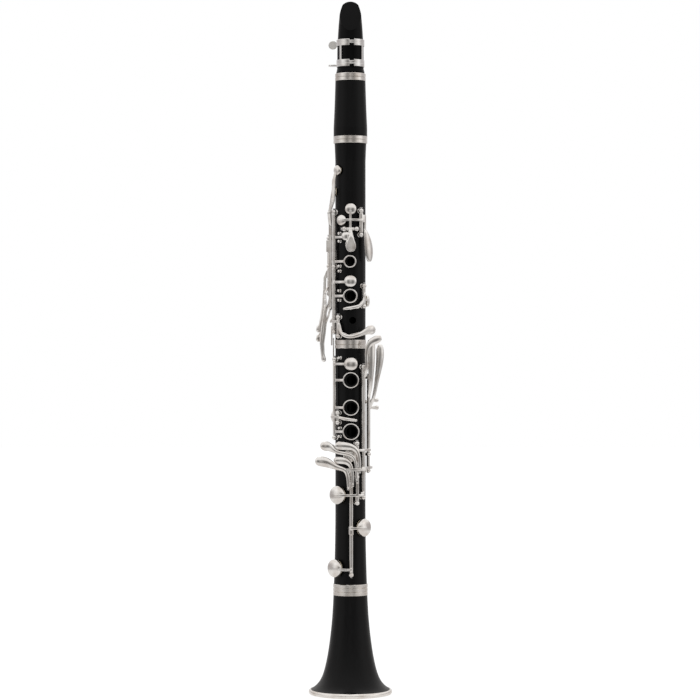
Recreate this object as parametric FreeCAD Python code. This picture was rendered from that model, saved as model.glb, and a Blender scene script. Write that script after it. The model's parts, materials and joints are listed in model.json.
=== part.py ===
"""A B-flat clarinet with seventeen keys and six rings, standing on its bell.

Millimetres. The origin is the centre of the bell's foot, +Z runs up the bore and the tone holes face -Y.
Places round the body are polar: an angle from the front line, positive towards +X, and a distance from the bore.
"""

import FreeCAD, Part
import math
import os

from FreeCAD import Placement, Rotation, Vector

# ---------------------------------------------------------------- lengths along the bore
BELL_TOP = 104.8
LOWER_JOINT_TOP = 337.0
UPPER_JOINT_TOP = 524.0
BARREL_TOP = 590.5
MOUTHPIECE_LENGTH = 69.9
MOUTHPIECE_TIP = BARREL_TOP + MOUTHPIECE_LENGTH

# ---------------------------------------------------------------- turned body
BORE = 7.35
UPPER_RADIUS = 14.4
UPPER_SHOULDER = 15.1
LOWER_RADIUS = 14.35
LOWER_FLARE = 1.4
LOWER_FOOT_RADIUS = LOWER_RADIUS + LOWER_FLARE
BARREL_TOP_RADIUS = 14.35
BARREL_FOOT_RADIUS = 16.0
BELL_NECK_RADIUS = 16.2
BELL_RADIUS = 39.8
BELL_RIM_HEIGHT = 4.4
BELL_RIM_DEPTH = 2.3
BELL_FOOT_WIDTH = 5.6

MOUTHPIECE_TENON = 10.9
JOINT_TENON = 11.0
BELL_TENON = 12.3
MOUTHPIECE_TENON_LENGTH = 15.4
UPPER_TENON_LENGTH = 20.6
MIDDLE_TENON_LENGTH = 18.4
BELL_TENON_LENGTH = 19.6
SOCKET_GAP = 0.35
SOCKET_FLOOR_GAP = 0.3
CORK_DEPTH = 0.8
CORK_MARGIN = 2.2
CORK_CLEARANCE = 0.03

RING_DEPTH = 1.3
BARREL_RING_HEIGHT = 6.9
LOWER_RING_HEIGHT = 8.1
BELL_RING_HEIGHT = 10.8
RING_PROUD = 0.25
GROOVE = 0.45

# ---------------------------------------------------------------- key work
ROD = 0.95
ROD_IN_POST = 0.02
ROD_IN_TUBE = 0.05
TUBE = 2.0
SLIM_TUBE = 1.7
END_GAP = 0.06
BALL = 2.4
BALL_FLAT = 1.9
SHANK = 1.4
SHANK_DEPTH = 3.0
FOOT = 2.3
FOOT_HEIGHT = 0.5
ARM = 2.4
ARM_THICK = 1.5
PAD_THICK = 1.9
BIG_PAD_THICK = 3.0
CUP_WALL = 0.5
CUP_EDGE = 0.3
DOME = 0.75
SEAT_WALL = 0.9
SEAT_HEIGHT = 1.1
SEAT_GAP = 0.04
RING_THICK = 1.5
RING_LIFT = 0.1
CHIMNEY_HEIGHT = 1.5
SEAT_SINK = 0.1
SPRING = 0.3
SPRING_LENGTH = 13.0

RING_ROD_TURN = -64.0
LOWER_RING_ROD_TURN = -61.0
RING_OPEN = 5.0
KEY_OPEN = 6.0

parts = {}


def over_upper(height):
    """A distance from the bore, by its height over the upper joint's wood."""
    return UPPER_RADIUS + height


def over_lower(height):
    """A distance from the bore, by its height over the lower joint's wood."""
    return LOWER_RADIUS + height


UPPER_SEAT = over_upper(-SEAT_SINK)
LOWER_SEAT = over_lower(-SEAT_SINK)


# ---------------------------------------------------------------- geometry helpers
def polar(reach, turn, z):
    a = math.radians(turn)
    return Vector(reach * math.sin(a), -reach * math.cos(a), z)


def outward(turn):
    return polar(1.0, turn, 0.0)


def rod(start, end, radius):
    return Part.makeCylinder(radius, (end - start).Length, start, end - start)


def cone(start, end, radius_start, radius_end):
    return Part.makeCone(radius_start, radius_end, (end - start).Length, start, end - start)


def box(low, high):
    size = high - low
    return Part.makeBox(size.x, size.y, size.z, low)


def fuse(first, *rest):
    return first.multiFuse(list(rest)).removeSplitter() if rest else first


def cut(shape, *tools):
    return shape.cut(list(tools))


def turned(start, *steps):
    """A solid of revolution about Z.

    A step is the next (radius, z), (through, end) for an arc, or a list of points for a smooth curve.
    """
    edges = []
    here = start
    for step in steps + (start,):
        if isinstance(step, list):
            end = step[-1]
            curve = Part.BSplineCurve()
            curve.interpolate([Vector(r, 0, z) for r, z in [here] + step])
            edges.append(curve.toShape())
        elif isinstance(step[0], tuple):
            through, end = step
            arc = Part.Arc(Vector(here[0], 0, here[1]), Vector(through[0], 0, through[1]), Vector(end[0], 0, end[1]))
            edges.append(arc.toShape())
        else:
            end = step
            if (here[0] - end[0]) ** 2 + (here[1] - end[1]) ** 2 > 1e-12:
                edges.append(Part.makeLine(Vector(here[0], 0, here[1]), Vector(end[0], 0, end[1])))
        here = end
    return Part.Face(Part.Wire(edges)).revolve(Vector(0, 0, 0), Vector(0, 0, 1), 360)


def flared(outer, inner):
    """A turned shell whose outer and inner outlines are smooth curves through (radius, z) points, top to bottom."""
    outer_curve = Part.BSplineCurve()
    outer_curve.interpolate([Vector(r, 0, z) for r, z in outer])
    inner_curve = Part.BSplineCurve()
    inner_curve.interpolate([Vector(r, 0, z) for r, z in inner])
    top = Part.makeLine(Vector(inner[0][0], 0, inner[0][1]), Vector(outer[0][0], 0, outer[0][1]))
    foot = Part.makeLine(Vector(outer[-1][0], 0, outer[-1][1]), Vector(inner[-1][0], 0, inner[-1][1]))
    wire = Part.Wire(Part.__sortEdges__([top, outer_curve.toShape(), foot, inner_curve.toShape()]))
    return Part.Face(wire).revolve(Vector(0, 0, 0), Vector(0, 0, 1), 360)


def ring_solid(inner, outer, low, high):
    return turned((inner, low), (outer, low), (outer, high), (inner, high))


def stand(shape, point, direction):
    """Moves a shape made at the origin about +Z to a point, with its +Z along a direction."""
    shape = shape.copy()
    shape.Placement = Placement(point, Rotation(Vector(0, 0, 1), direction))
    return shape


def hoop(inner, outer, turn_from, turn_to, z, width):
    """A flat strip bent round the bore between two distances and two angles."""
    span = turn_to - turn_from
    base = Vector(0, 0, z - width / 2)
    up = Vector(0, 0, 1)
    strip = Part.makeCylinder(outer, width, base, up, span).cut(Part.makeCylinder(inner, width, base, up, span))
    strip.rotate(Vector(0, 0, 0), up, turn_from - 90)
    return strip


def blade(start, end, half_start, half_end, facing, thick):
    """A flat tapered plate with round ends, its broad face square to the facing direction."""
    along = end - start
    length = along.Length
    along.normalize()
    face_dir = facing - along * facing.dot(along)
    face_dir.normalize()
    side = face_dir.cross(along)
    lean = math.asin((half_start - half_end) / length)

    def at(centre, radius, angle):
        return centre + along * (radius * math.sin(angle)) + side * (radius * math.cos(angle))

    first = at(start, half_start, lean)
    second = at(end, half_end, lean)
    third = end + along * (half_end * math.sin(lean)) - side * (half_end * math.cos(lean))
    fourth = start + along * (half_start * math.sin(lean)) - side * (half_start * math.cos(lean))
    edges = [
        Part.makeLine(first, second),
        Part.Arc(second, end + along * half_end, third).toShape(),
        Part.makeLine(third, fourth),
        Part.Arc(fourth, start - along * half_start, first).toShape(),
    ]
    face = Part.Face(Part.Wire(edges))
    face.translate(face_dir * (-thick / 2))
    return face.extrude(face_dir * thick)


LINK_SLIM = 0.06


def chain(points, halves, facing, thick):
    """A bent flat lever. Every second link is a hair slimmer, so no two links share a face."""
    links = []
    for i in range(len(points) - 1):
        slim = LINK_SLIM * (i % 2)
        links.append(blade(points[i], points[i + 1], halves[i] - slim, halves[i + 1] - slim, facing, thick - slim))
    return links


def pad_solid(radius, thick):
    lip = 0.15 * thick
    return turned((0, 0), (radius - lip, 0), (radius, lip), (radius, thick), (0, thick))


def cup_solid(radius, thick):
    """A domed key cup over a pad of a given thickness."""
    seat = radius - CUP_WALL
    shoulder = thick + CUP_EDGE
    sphere = (radius**2 + DOME**2) / (2 * DOME)
    half = math.sqrt(sphere**2 - radius**2 / 4) + shoulder + DOME - sphere
    return turned(
        (0, thick), (seat, thick), (seat, 0.45 * thick), (radius, 0.45 * thick), (radius, shoulder),
        ((radius / 2, half), (0, shoulder + DOME)),
    )


def cup_top(seat, thick):
    return seat + SEAT_GAP + thick + CUP_EDGE + DOME


class Pad:
    """A pad and its cup over a tone hole, closed on its seat."""

    def __init__(self, turn, z, radius, hole, seat=UPPER_SEAT, thick=PAD_THICK):
        self.turn = turn
        self.z = z
        self.radius = radius
        self.hole = hole
        self.seat = seat
        self.thick = thick
        self.top = cup_top(seat, thick)

    def cup(self):
        return stand(cup_solid(self.radius, self.thick), self.point(self.seat + SEAT_GAP), outward(self.turn))

    def pad(self):
        return stand(
            pad_solid(self.radius - CUP_WALL, self.thick), self.point(self.seat + SEAT_GAP), outward(self.turn)
        )

    def point(self, reach):
        return polar(reach, self.turn, self.z)

    def drilled(self, body):
        """The wood with a raised seat, a spot face round it and the hole to the bore."""
        clear = rod(self.point(self.seat - SEAT_HEIGHT), self.point(self.seat + 12), self.radius + 0.7)
        body = cut(body, clear)
        rim = rod(self.point(self.seat - SEAT_HEIGHT - 0.5), self.point(self.seat), self.hole + SEAT_WALL)
        body = fuse(body, rim)
        return cut(body, rod(self.point(0), self.point(self.seat + 1), self.hole))


class Axle:
    """A hinge rod between ball posts: its line, its posts and the radius of the tubes on it."""

    def __init__(self, start, end, tube=TUBE, wood=UPPER_RADIUS, posts=()):
        self.start = start
        self.end = end
        self.posts = posts
        self.tube = tube
        self.wood = wood
        self.along = (end - start).normalize()

    def at(self, z):
        return Vector(self.start.x, self.start.y, z)

    def span(self, first=0):
        """The room for hinge tubes between a post and the next one up."""
        return self.posts[first] + BALL_FLAT + END_GAP, self.posts[first + 1] - BALL_FLAT - END_GAP

    def hinge_tube(self, low, high, radius=None):
        radius = radius or self.tube
        return rod(self.at(low), self.at(high), radius)

    def bore(self, low, high):
        return rod(self.at(low - 1), self.at(high + 1), ROD + ROD_IN_TUBE)

    def rod_solid(self):
        reach = self.along * (BALL_FLAT + 0.5)
        head = self.along * 0.9
        pin = rod(self.start - reach, self.end + reach, ROD)
        return fuse(pin, rod(self.end + reach, self.end + reach + head, ROD + 0.5))


def ball_post(centre, along, wood):
    """A post: shank in the wood, foot, stem and a ball drilled for its rod, along a line from the bore."""
    turn = math.degrees(math.atan2(centre.x, -centre.y))
    reach = math.hypot(centre.x, centre.y)
    z = centre.z
    shank = rod(polar(wood - SHANK_DEPTH, turn, z), polar(wood, turn, z), SHANK)
    foot = rod(polar(wood - 0.3, turn, z), polar(wood + FOOT_HEIGHT, turn, z), FOOT)
    stem = cone(polar(wood, turn, z), polar(reach, turn, z), BALL_FLAT, SHANK)
    low = centre - along * BALL_FLAT
    high = centre + along * BALL_FLAT
    ball = Part.makeSphere(BALL, centre).common(rod(low, high, 2 * BALL))
    body = fuse(shank, foot, stem, ball)
    return cut(body, rod(low - along, high + along, ROD + ROD_IN_POST))


def post_seat(centre, wood):
    """What a post takes out of the wood."""
    turn = math.degrees(math.atan2(centre.x, -centre.y))
    shank = rod(polar(wood - SHANK_DEPTH, turn, centre.z), polar(wood, turn, centre.z), SHANK)
    foot = rod(polar(wood - 0.3, turn, centre.z), polar(wood + 4, turn, centre.z), FOOT)
    return fuse(shank, foot)


def save(name, *solids):
    parts[name] = Part.makeCompound(list(solids)) if len(solids) > 1 else solids[0]


# ---------------------------------------------------------------- pads
PADS = {
    "register": Pad(180, 497.0, 4.2, 1.5, seat=UPPER_SEAT + 1.1),
    "throat_a": Pad(1, 461.0, 5.3, 3.0),
    "throat_gsharp": Pad(-31, 450.5, 5.0, 2.6),
    "first_ring": Pad(-14, 435.4, 4.2, 2.3, seat=UPPER_SEAT - 0.4, thick=1.6),
    "second_ring": Pad(1, 392.6, 5.4, 3.2),
    "side_1": Pad(-50, 498.0, 4.6, 2.4),
    "side_2": Pad(-76, 478.0, 4.4, 2.4),
    "side_3": Pad(-126, 366.0, 4.8, 2.8),
    "side_4": Pad(-126, 389.0, 4.8, 2.8),
    "left_sliver": Pad(95, 374.0, 5.4, 3.4),
    "csharp_gsharp": Pad(-91, 356.6, 4.2, 2.4),
    "lower_ring": Pad(3, 314.2, 6.0, 3.8, seat=LOWER_SEAT),
    "b_fsharp": Pad(-91, 264.0, 5.2, 3.2, seat=LOWER_SEAT),
    "ab_eb": Pad(45, 159.0, 8.3, 5.2, seat=LOWER_SEAT + 1.35, thick=BIG_PAD_THICK),
    "f_c": Pad(-42, 190.0, 8.5, 5.4, seat=LOWER_SEAT + 1.15, thick=BIG_PAD_THICK),
    "e_b": Pad(-50, 120.5, 8.4, 5.6, seat=LOWER_SEAT + 1.95, thick=BIG_PAD_THICK),
    "fsharp_csharp": Pad(-3, 226.8, 6.0, 4.0, seat=LOWER_SEAT),
}
UPPER_PADS = (
    "register", "throat_a", "throat_gsharp", "first_ring", "second_ring", "side_1", "side_2", "side_3", "side_4",
    "left_sliver", "csharp_gsharp",
)
LOWER_PADS = ("lower_ring", "b_fsharp", "ab_eb", "f_c", "e_b", "fsharp_csharp")


class FingerRing:
    """A ring round a finger hole, level with the hole's chimney when pressed."""

    def __init__(self, turn, z, outer, inner, hole, wood=UPPER_RADIUS):
        self.turn = turn
        self.z = z
        self.floor = wood + RING_LIFT
        self.chimney_top = wood + CHIMNEY_HEIGHT
        self.outer = outer
        self.inner = inner
        self.hole = hole

    def solid(self):
        middle = (self.outer + self.inner) / 2
        crown = turned(
            (self.inner, 0), (self.outer, 0), (self.outer, RING_THICK * 0.55),
            ((middle, RING_THICK), (self.inner, RING_THICK * 0.55)),
        )
        return stand(crown, polar(self.floor, self.turn, self.z), outward(self.turn))

    def drilled(self, body):
        top = self.chimney_top
        chimney = rod(polar(top - 5.9, self.turn, self.z), polar(top, self.turn, self.z), self.inner - 0.55)
        body = fuse(body, chimney)
        return cut(body, rod(polar(0, self.turn, self.z), polar(top + 1, self.turn, self.z), self.hole))


RING_1 = FingerRing(1, 411.3, 6.15, 4.7, 3.4)
RING_2 = FingerRing(2, 378.6, 7.0, 5.5, 4.0)
RING_3 = FingerRing(4, 298.8, 7.75, 6.5, 4.6, LOWER_RADIUS)
RING_4 = FingerRing(4, 272.8, 7.75, 6.5, 4.6, LOWER_RADIUS)
RING_5 = FingerRing(4.5, 250.0, 8.1, 6.8, 5.0, LOWER_RADIUS)
THUMB_RING = FingerRing(180, 401.6, 7.4, 5.9, 3.6)


# ---------------------------------------------------------------- hinge lines
def upright(turn, height, posts, tube=TUBE, wood=UPPER_RADIUS):
    """A rod along the body, by its height over the wood and the levels of its posts."""
    reach = wood + height
    return Axle(polar(reach, turn, posts[0]), polar(reach, turn, posts[-1]), tube, wood, posts)


SIDE_ROD = Vector(-over_upper(6.0), 3.0, 0)
SIDE_BAR = -over_upper(4.8)
SIDE_POSTS = (381.0, 407.3, 434.0)
SADDLE_ROD = over_upper(2.9)

UPPER_RING_AXLE = upright(RING_ROD_TURN, 2.9, (344.6, 406.4, 458.5))
GSHARP_AXLE = upright(35, 3.1, (436.6, 459.3))
SLIVER_AXLE = upright(48, 2.8, (369.0, 388.2), SLIM_TUBE)
CSHARP_AXLE = upright(-41, 3.2, (340.6, 358.6), SLIM_TUBE)
THUMB_AXLE = upright(-140, 2.8, (401.5, 420.9), SLIM_TUBE)
SIDE_AXLE = Axle(
    SIDE_ROD + Vector(0, 0, SIDE_POSTS[0]), SIDE_ROD + Vector(0, 0, SIDE_POSTS[-1]), SLIM_TUBE, posts=SIDE_POSTS
)
THROAT_A_AXLE = Axle(Vector(5.8, -SADDLE_ROD, 442.0), Vector(-5.8, -SADDLE_ROD, 442.0), SLIM_TUBE)
REGISTER_AXLE = Axle(Vector(-5.6, SADDLE_ROD, 452.0), Vector(5.6, SADDLE_ROD, 452.0), SLIM_TUBE)

LOWER_RING_AXLE = upright(LOWER_RING_ROD_TURN, 2.75, (244.4, 318.6), SLIM_TUBE, LOWER_RADIUS)
LOWER_SLIVER_AXLE = upright(-43, 3.05, (258.6, 267.8), 1.5, LOWER_RADIUS)
F_LEVER_AXLE = upright(44, 3.05, (187.8, 311.4), SLIM_TUBE, LOWER_RADIUS)
FSHARP_LEVER_AXLE = upright(72, 3.75, (228.4, 301.6), SLIM_TUBE, LOWER_RADIUS)
E_LEVER_AXLE = upright(112, 3.95, (212.2, 278.0), SLIM_TUBE, LOWER_RADIUS)
F_KEY_AXLE = upright(20.5, 3.45, (182.6, 207.2, 239.0), TUBE, LOWER_RADIUS)
CENTRE_AXLE = upright(2.5, 3.15, (114.6, 212.0), 1.8, LOWER_RADIUS)

UPPER_AXLES = (UPPER_RING_AXLE, GSHARP_AXLE, SLIVER_AXLE, CSHARP_AXLE, THUMB_AXLE, SIDE_AXLE)
LOWER_AXLES = (
    LOWER_RING_AXLE, LOWER_SLIVER_AXLE, F_LEVER_AXLE, FSHARP_LEVER_AXLE, E_LEVER_AXLE, F_KEY_AXLE, CENTRE_AXLE,
)


def post_centres(axles):
    return [(axle, axle.at(z)) for axle in axles for z in axle.posts]


def open_by(shape, axle, direction, angle):
    """A key that stands open is drawn closed and then swung back by its travel."""
    shape = shape.copy()
    shape.rotate(axle.start, direction, -angle)
    return shape


UP = Vector(0, 0, 1)
DOWN = Vector(0, 0, -1)


def pad_room(pad):
    return rod(pad.point(pad.seat - 1.5), pad.point(pad.seat + SEAT_GAP + pad.thick), pad.radius - CUP_WALL)


def key(name, axle, solids, tubes, pad=None, direction=UP, opening=0.0):
    """Fuses a key, drills its hinge tubes and swings it with its pad to its rest place."""
    body = fuse(*solids)
    for low, high in tubes:
        body = cut(body, axle.bore(low, high))
    if pad:
        body = cut(body, pad_room(PADS[pad]))
    if opening:
        body = open_by(body, axle, direction, opening)
    save(name + "_key", body)
    if pad:
        felt = PADS[pad].pad()
        if opening:
            felt = open_by(felt, axle, direction, opening)
        save(name + "_pad", felt)


def cup_leg(pad, reach, radius=1.5):
    return rod(pad.point(pad.top - 0.6), pad.point(reach), radius)


# ---------------------------------------------------------------- turned body pieces
def cork_band(tenon, low, high):
    socket = tenon + SOCKET_GAP
    return ring_solid(tenon - CORK_DEPTH, socket - CORK_CLEARANCE, low + CORK_MARGIN, high - CORK_MARGIN)


def cork_groove(tenon, low, high):
    return ring_solid(tenon - CORK_DEPTH, tenon + 1, low + CORK_MARGIN, high - CORK_MARGIN)


def grooved_ring(inner, outer, low, high, grooves):
    band = turned(
        (inner, low), (outer - 0.3, low), (outer, low + 0.3), (outer, high - 0.3), (outer - 0.3, high), (inner, high)
    )
    for level in grooves:
        z = low + level * (high - low)
        band = cut(band, turned((outer - GROOVE, z), (outer + 1, z - GROOVE - 1), (outer + 1, z + GROOVE + 1)))
    return band


def make_bell():
    neck = BELL_NECK_RADIUS
    edge = BELL_RADIUS - BELL_RIM_DEPTH
    outer = [(neck, BELL_TOP - BELL_RING_HEIGHT), (17.4, 72.5), (19.9, 49.1), (24.0, 26.2), (30.4, 10.6), (edge, 4.6)]
    foot_inner = edge - BELL_FOOT_WIDTH
    inner = [(11.0, BELL_TOP - BELL_RING_HEIGHT), (12.6, 72.5), (15.6, 49.1), (20.2, 26.2), (26.6, 9.4), (foot_inner, 0)]
    flare = flared(outer, inner)
    skirt = ring_solid(foot_inner, edge, 0, 4.6)
    neck_wood = ring_solid(11.0, neck - RING_DEPTH, BELL_TOP - BELL_RING_HEIGHT, BELL_TOP)
    bell = fuse(flare, skirt, neck_wood)
    socket_floor = BELL_TOP - BELL_TENON_LENGTH - SOCKET_FLOOR_GAP
    bell = cut(bell, rod(Vector(0, 0, socket_floor), Vector(0, 0, BELL_TOP + 1), BELL_TENON + SOCKET_GAP))
    save("bell", bell)
    socket_ring = grooved_ring(
        neck - RING_DEPTH, neck + RING_PROUD, BELL_TOP - BELL_RING_HEIGHT, BELL_TOP, (0.33, 0.67)
    )
    half = BELL_RIM_HEIGHT / 2
    rim = turned(
        (edge, 0), (BELL_RADIUS - 1.2, 0), ((BELL_RADIUS, half), (BELL_RADIUS - 1.2, BELL_RIM_HEIGHT)),
        (edge, BELL_RIM_HEIGHT),
    )
    save("bell_rings", socket_ring, rim)


def make_lower_joint():
    top = LOWER_JOINT_TOP
    tenon_end = BELL_TOP - BELL_TENON_LENGTH
    collar = top - LOWER_RING_HEIGHT
    wood = turned(
        (BORE, top), (LOWER_RADIUS + RING_PROUD - RING_DEPTH, top), (LOWER_RADIUS + RING_PROUD - RING_DEPTH, collar),
        (LOWER_RADIUS, collar), (LOWER_RADIUS, 176.0), [(LOWER_RADIUS + 0.2 * LOWER_FLARE, 146.0), (LOWER_FOOT_RADIUS, BELL_TOP)],
        (BELL_TENON, BELL_TOP), (BELL_TENON, tenon_end), (10.6, tenon_end), (BORE, 190.0),
    )
    socket = JOINT_TENON + SOCKET_GAP
    floor = top - MIDDLE_TENON_LENGTH - SOCKET_FLOOR_GAP
    wood = cut(wood, rod(Vector(0, 0, floor), Vector(0, 0, top + 1), socket))
    for name in LOWER_PADS:
        wood = PADS[name].drilled(wood)
    for ring in (RING_3, RING_4, RING_5):
        wood = ring.drilled(wood)
    wood = cut(wood, rod(Vector(0, 0, 190), Vector(0, 0, floor + 1), BORE))
    seats = [post_seat(centre, axle.wood) for axle, centre in post_centres(LOWER_AXLES)]
    wood = cut(wood, cork_groove(BELL_TENON, tenon_end, BELL_TOP), *seats)
    wood = cut(wood, *rest_screw_holes())
    save("lower_joint", wood)
    save("lower_joint_cork", cork_band(BELL_TENON, tenon_end, BELL_TOP))
    save(
        "lower_joint_ring",
        grooved_ring(LOWER_RADIUS + RING_PROUD - RING_DEPTH, LOWER_RADIUS + RING_PROUD + 0.3, collar, top, (0.45,)),
    )


def make_upper_joint():
    top = UPPER_JOINT_TOP
    foot = LOWER_JOINT_TOP
    upper_end = top + UPPER_TENON_LENGTH
    lower_end = foot - MIDDLE_TENON_LENGTH
    wood = turned(
        (BORE, upper_end), (JOINT_TENON, upper_end), (JOINT_TENON, top), (UPPER_SHOULDER, top),
        (UPPER_RADIUS, 507.0), (UPPER_RADIUS, foot), (JOINT_TENON, foot), (JOINT_TENON, lower_end), (BORE, lower_end),
    )
    for name in UPPER_PADS:
        if name != "register":
            wood = PADS[name].drilled(wood)
    for ring in (RING_1, RING_2):
        wood = ring.drilled(wood)
    third = 355.5
    wood = cut(wood, rod(polar(0, 9, third), polar(16, 9, third), 3.3))
    register = PADS["register"]
    wood = cut(wood, rod(register.point(0), register.point(20), VENT_TUBE))
    wood = cut(wood, rod(polar(0, 180, THUMB_RING.z), polar(20, 180, THUMB_RING.z), THUMB_TUBE))
    wood = cut(wood, rod(Vector(0, 0, lower_end - 1), Vector(0, 0, upper_end + 1), BORE))
    seats = [post_seat(centre, axle.wood) for axle, centre in post_centres(UPPER_AXLES)]
    seats += [saddle_seat(centre) for centre in saddle_centres()]
    wood = cut(
        wood, cork_groove(JOINT_TENON, top, upper_end), cork_groove(JOINT_TENON, lower_end, foot), *seats
    )
    save("upper_joint", wood)
    save(
        "upper_joint_corks",
        cork_band(JOINT_TENON, top, upper_end),
        cork_band(JOINT_TENON, lower_end, foot),
    )


VENT_TUBE = 2.4
VENT_BORE = 1.5
THUMB_TUBE = 4.9
THUMB_BORE = 3.6
THUMB_TUBE_TOP = over_upper(CHIMNEY_HEIGHT)
VENT_REACH = 4.6


def make_upper_tubes():
    register = PADS["register"]
    vent = cut(
        rod(register.point(VENT_REACH), register.point(register.seat), VENT_TUBE),
        rod(register.point(0), register.point(20), VENT_BORE),
    )
    thumb = cut(
        rod(polar(BORE - 0.2, 180, THUMB_RING.z), polar(THUMB_TUBE_TOP, 180, THUMB_RING.z), THUMB_TUBE),
        rod(polar(0, 180, THUMB_RING.z), polar(20, 180, THUMB_RING.z), THUMB_BORE),
        rod(Vector(0, 0, THUMB_RING.z - 10), Vector(0, 0, THUMB_RING.z + 10), BORE),
    )
    save("upper_joint_tubes", vent, thumb)


def make_barrel():
    low = UPPER_JOINT_TOP
    top = BARREL_TOP
    inset = BARREL_RING_HEIGHT
    top_inner = BARREL_TOP_RADIUS - RING_DEPTH
    foot_inner = BARREL_FOOT_RADIUS - RING_DEPTH
    wood = turned(
        (BORE, top), (top_inner, top), (top_inner, top - inset), (BARREL_TOP_RADIUS, top - inset),
        [(14.95, 563.0), (BARREL_FOOT_RADIUS, low + inset + 8.0)], (BARREL_FOOT_RADIUS, low + inset),
        (foot_inner, low + inset), (foot_inner, low), (BORE, low),
    )
    lower_socket = rod(
        Vector(0, 0, low - 1), Vector(0, 0, low + UPPER_TENON_LENGTH + SOCKET_FLOOR_GAP), JOINT_TENON + SOCKET_GAP
    )
    upper_socket = rod(
        Vector(0, 0, top - MOUTHPIECE_TENON_LENGTH - SOCKET_FLOOR_GAP), Vector(0, 0, top + 1),
        MOUTHPIECE_TENON + SOCKET_GAP,
    )
    save("barrel", cut(wood, lower_socket, upper_socket))
    save(
        "barrel_rings",
        grooved_ring(top_inner, BARREL_TOP_RADIUS + RING_PROUD, top - inset, top, (0.5,)),
        grooved_ring(foot_inner, BARREL_FOOT_RADIUS + RING_PROUD - 0.1, low, low + inset, (0.5,)),
    )


# ---------------------------------------------------------------- mouthpiece, reed and ligature
TABLE = 8.9
REED_HEEL = BARREL_TOP + 3.5
REED_HALF = 6.3
LIGATURE_RADIUS = 12.75
LIGATURE_THICK = 0.6
LIGATURE_GAP = 0.15
UPPER_BAND = (BARREL_TOP + 26.1, BARREL_TOP + 32.3)
LOWER_BAND = (BARREL_TOP + 6.3, BARREL_TOP + 12.9)
BEAK_LENGTH = 33.4
BEAK_SIDES = 20.4
BEAK_CORNER = 3.5
WINDOW_HALF = 4.6
SCREW_LINE = 15.9
SCREW_RADIUS = 1.3


def make_mouthpiece():
    low = BARREL_TOP
    tip = MOUTHPIECE_TIP
    blank = turned(
        (BORE, low - MOUTHPIECE_TENON_LENGTH), (MOUTHPIECE_TENON, low - MOUTHPIECE_TENON_LENGTH),
        (MOUTHPIECE_TENON, low), (13.3, low), (13.5, low + 1.2), (12.65, low + 4.6), (12.6, low + 9.5),
        (12.5, tip - 43.4), (11.3, tip - 24.4), (10.4, tip - 14.4), (10.4, tip), (0, tip), (0, low + 21.5), (BORE, low + 19.5),
    )
    sides = tip - BEAK_SIDES
    corner = tip - BEAK_CORNER
    middle = tip - 9.9
    outline = Part.Wire(
        [
            Part.makeLine(Vector(-14, -15, sides), Vector(-14, -15, low - 30)),
            Part.makeLine(Vector(-14, -15, low - 30), Vector(14, -15, low - 30)),
            Part.makeLine(Vector(14, -15, low - 30), Vector(14, -15, sides)),
            Part.makeLine(Vector(14, -15, sides), Vector(10.9, -15, sides)),
            Part.Arc(Vector(10.9, -15, sides), Vector(9.55, -15, middle), Vector(7.5, -15, corner)).toShape(),
            Part.Arc(Vector(7.5, -15, corner), Vector(0, -15, tip), Vector(-7.5, -15, corner)).toShape(),
            Part.Arc(Vector(-7.5, -15, corner), Vector(-9.55, -15, middle), Vector(-10.9, -15, sides)).toShape(),
            Part.makeLine(Vector(-10.9, -15, sides), Vector(-14, -15, sides)),
        ]
    )
    body = blank.common(Part.Face(outline).extrude(Vector(0, 30, 0)))
    beak = [Vector(-16, -14, tip - BEAK_LENGTH), Vector(-16, TABLE - 2.0, tip + 0.2), Vector(-16, -14, tip + 10)]
    slope = Part.Face(Part.makePolygon(beak + beak[:1])).extrude(Vector(32, 0, 0))
    table = box(Vector(-16, TABLE, REED_HEEL - 2), Vector(16, 20, tip + 5))
    lay_points = [Vector(-16, TABLE + 1, sides), Vector(-16, TABLE, sides), Vector(-16, TABLE - 1.0, tip + 1)]
    lay_points.append(Vector(-16, TABLE + 1, tip + 1))
    lay = Part.Face(Part.makePolygon(lay_points + lay_points[:1])).extrude(Vector(32, 0, 0))
    window_points = [
        Vector(-WINDOW_HALF, TABLE + 2, low + 22.5), Vector(-WINDOW_HALF, TABLE + 2, tip - 2.6),
        Vector(-WINDOW_HALF, TABLE - 1.4, tip - 2.6), Vector(-WINDOW_HALF, -5.0, low + 23.5),
        Vector(-WINDOW_HALF, -5.0, low + 17.5), Vector(-WINDOW_HALF, 5.4, low + 17.5),
    ]
    window = Part.Face(Part.makePolygon(window_points + window_points[:1])).extrude(Vector(2 * WINDOW_HALF, 0, 0))
    body = cut(body, slope, table, lay, window, cork_groove(MOUTHPIECE_TENON, low - MOUTHPIECE_TENON_LENGTH, low))
    save("mouthpiece", body)
    save("mouthpiece_cork", cork_band(MOUTHPIECE_TENON, low - MOUTHPIECE_TENON_LENGTH, low))


def make_reed():
    tip = MOUTHPIECE_TIP
    side = [
        Vector(-REED_HALF, TABLE, REED_HEEL), Vector(-REED_HALF, TABLE, tip - 0.4),
        Vector(-REED_HALF, TABLE + 0.15, tip - 0.4), Vector(-REED_HALF, TABLE + 2.6, tip - BEAK_LENGTH),
        Vector(-REED_HALF, TABLE + 5, tip - BEAK_LENGTH - 0.4), Vector(-REED_HALF, TABLE + 5, REED_HEEL),
    ]
    slab = Part.Face(Part.makePolygon(side + side[:1])).extrude(Vector(2 * REED_HALF, 0, 0))
    barrel_face = rod(Vector(0, 0, REED_HEEL - 1), Vector(0, 0, tip + 1), LIGATURE_RADIUS - LIGATURE_GAP)
    rounded = rod(Vector(0, 0, tip - 9.0), Vector(0, 20, tip - 9.0), 8.8)
    below = box(Vector(-20, 0, REED_HEEL - 1), Vector(20, 20, tip - 6.5))
    save("reed", slab.common(barrel_face).common(fuse(rounded, below)))


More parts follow.
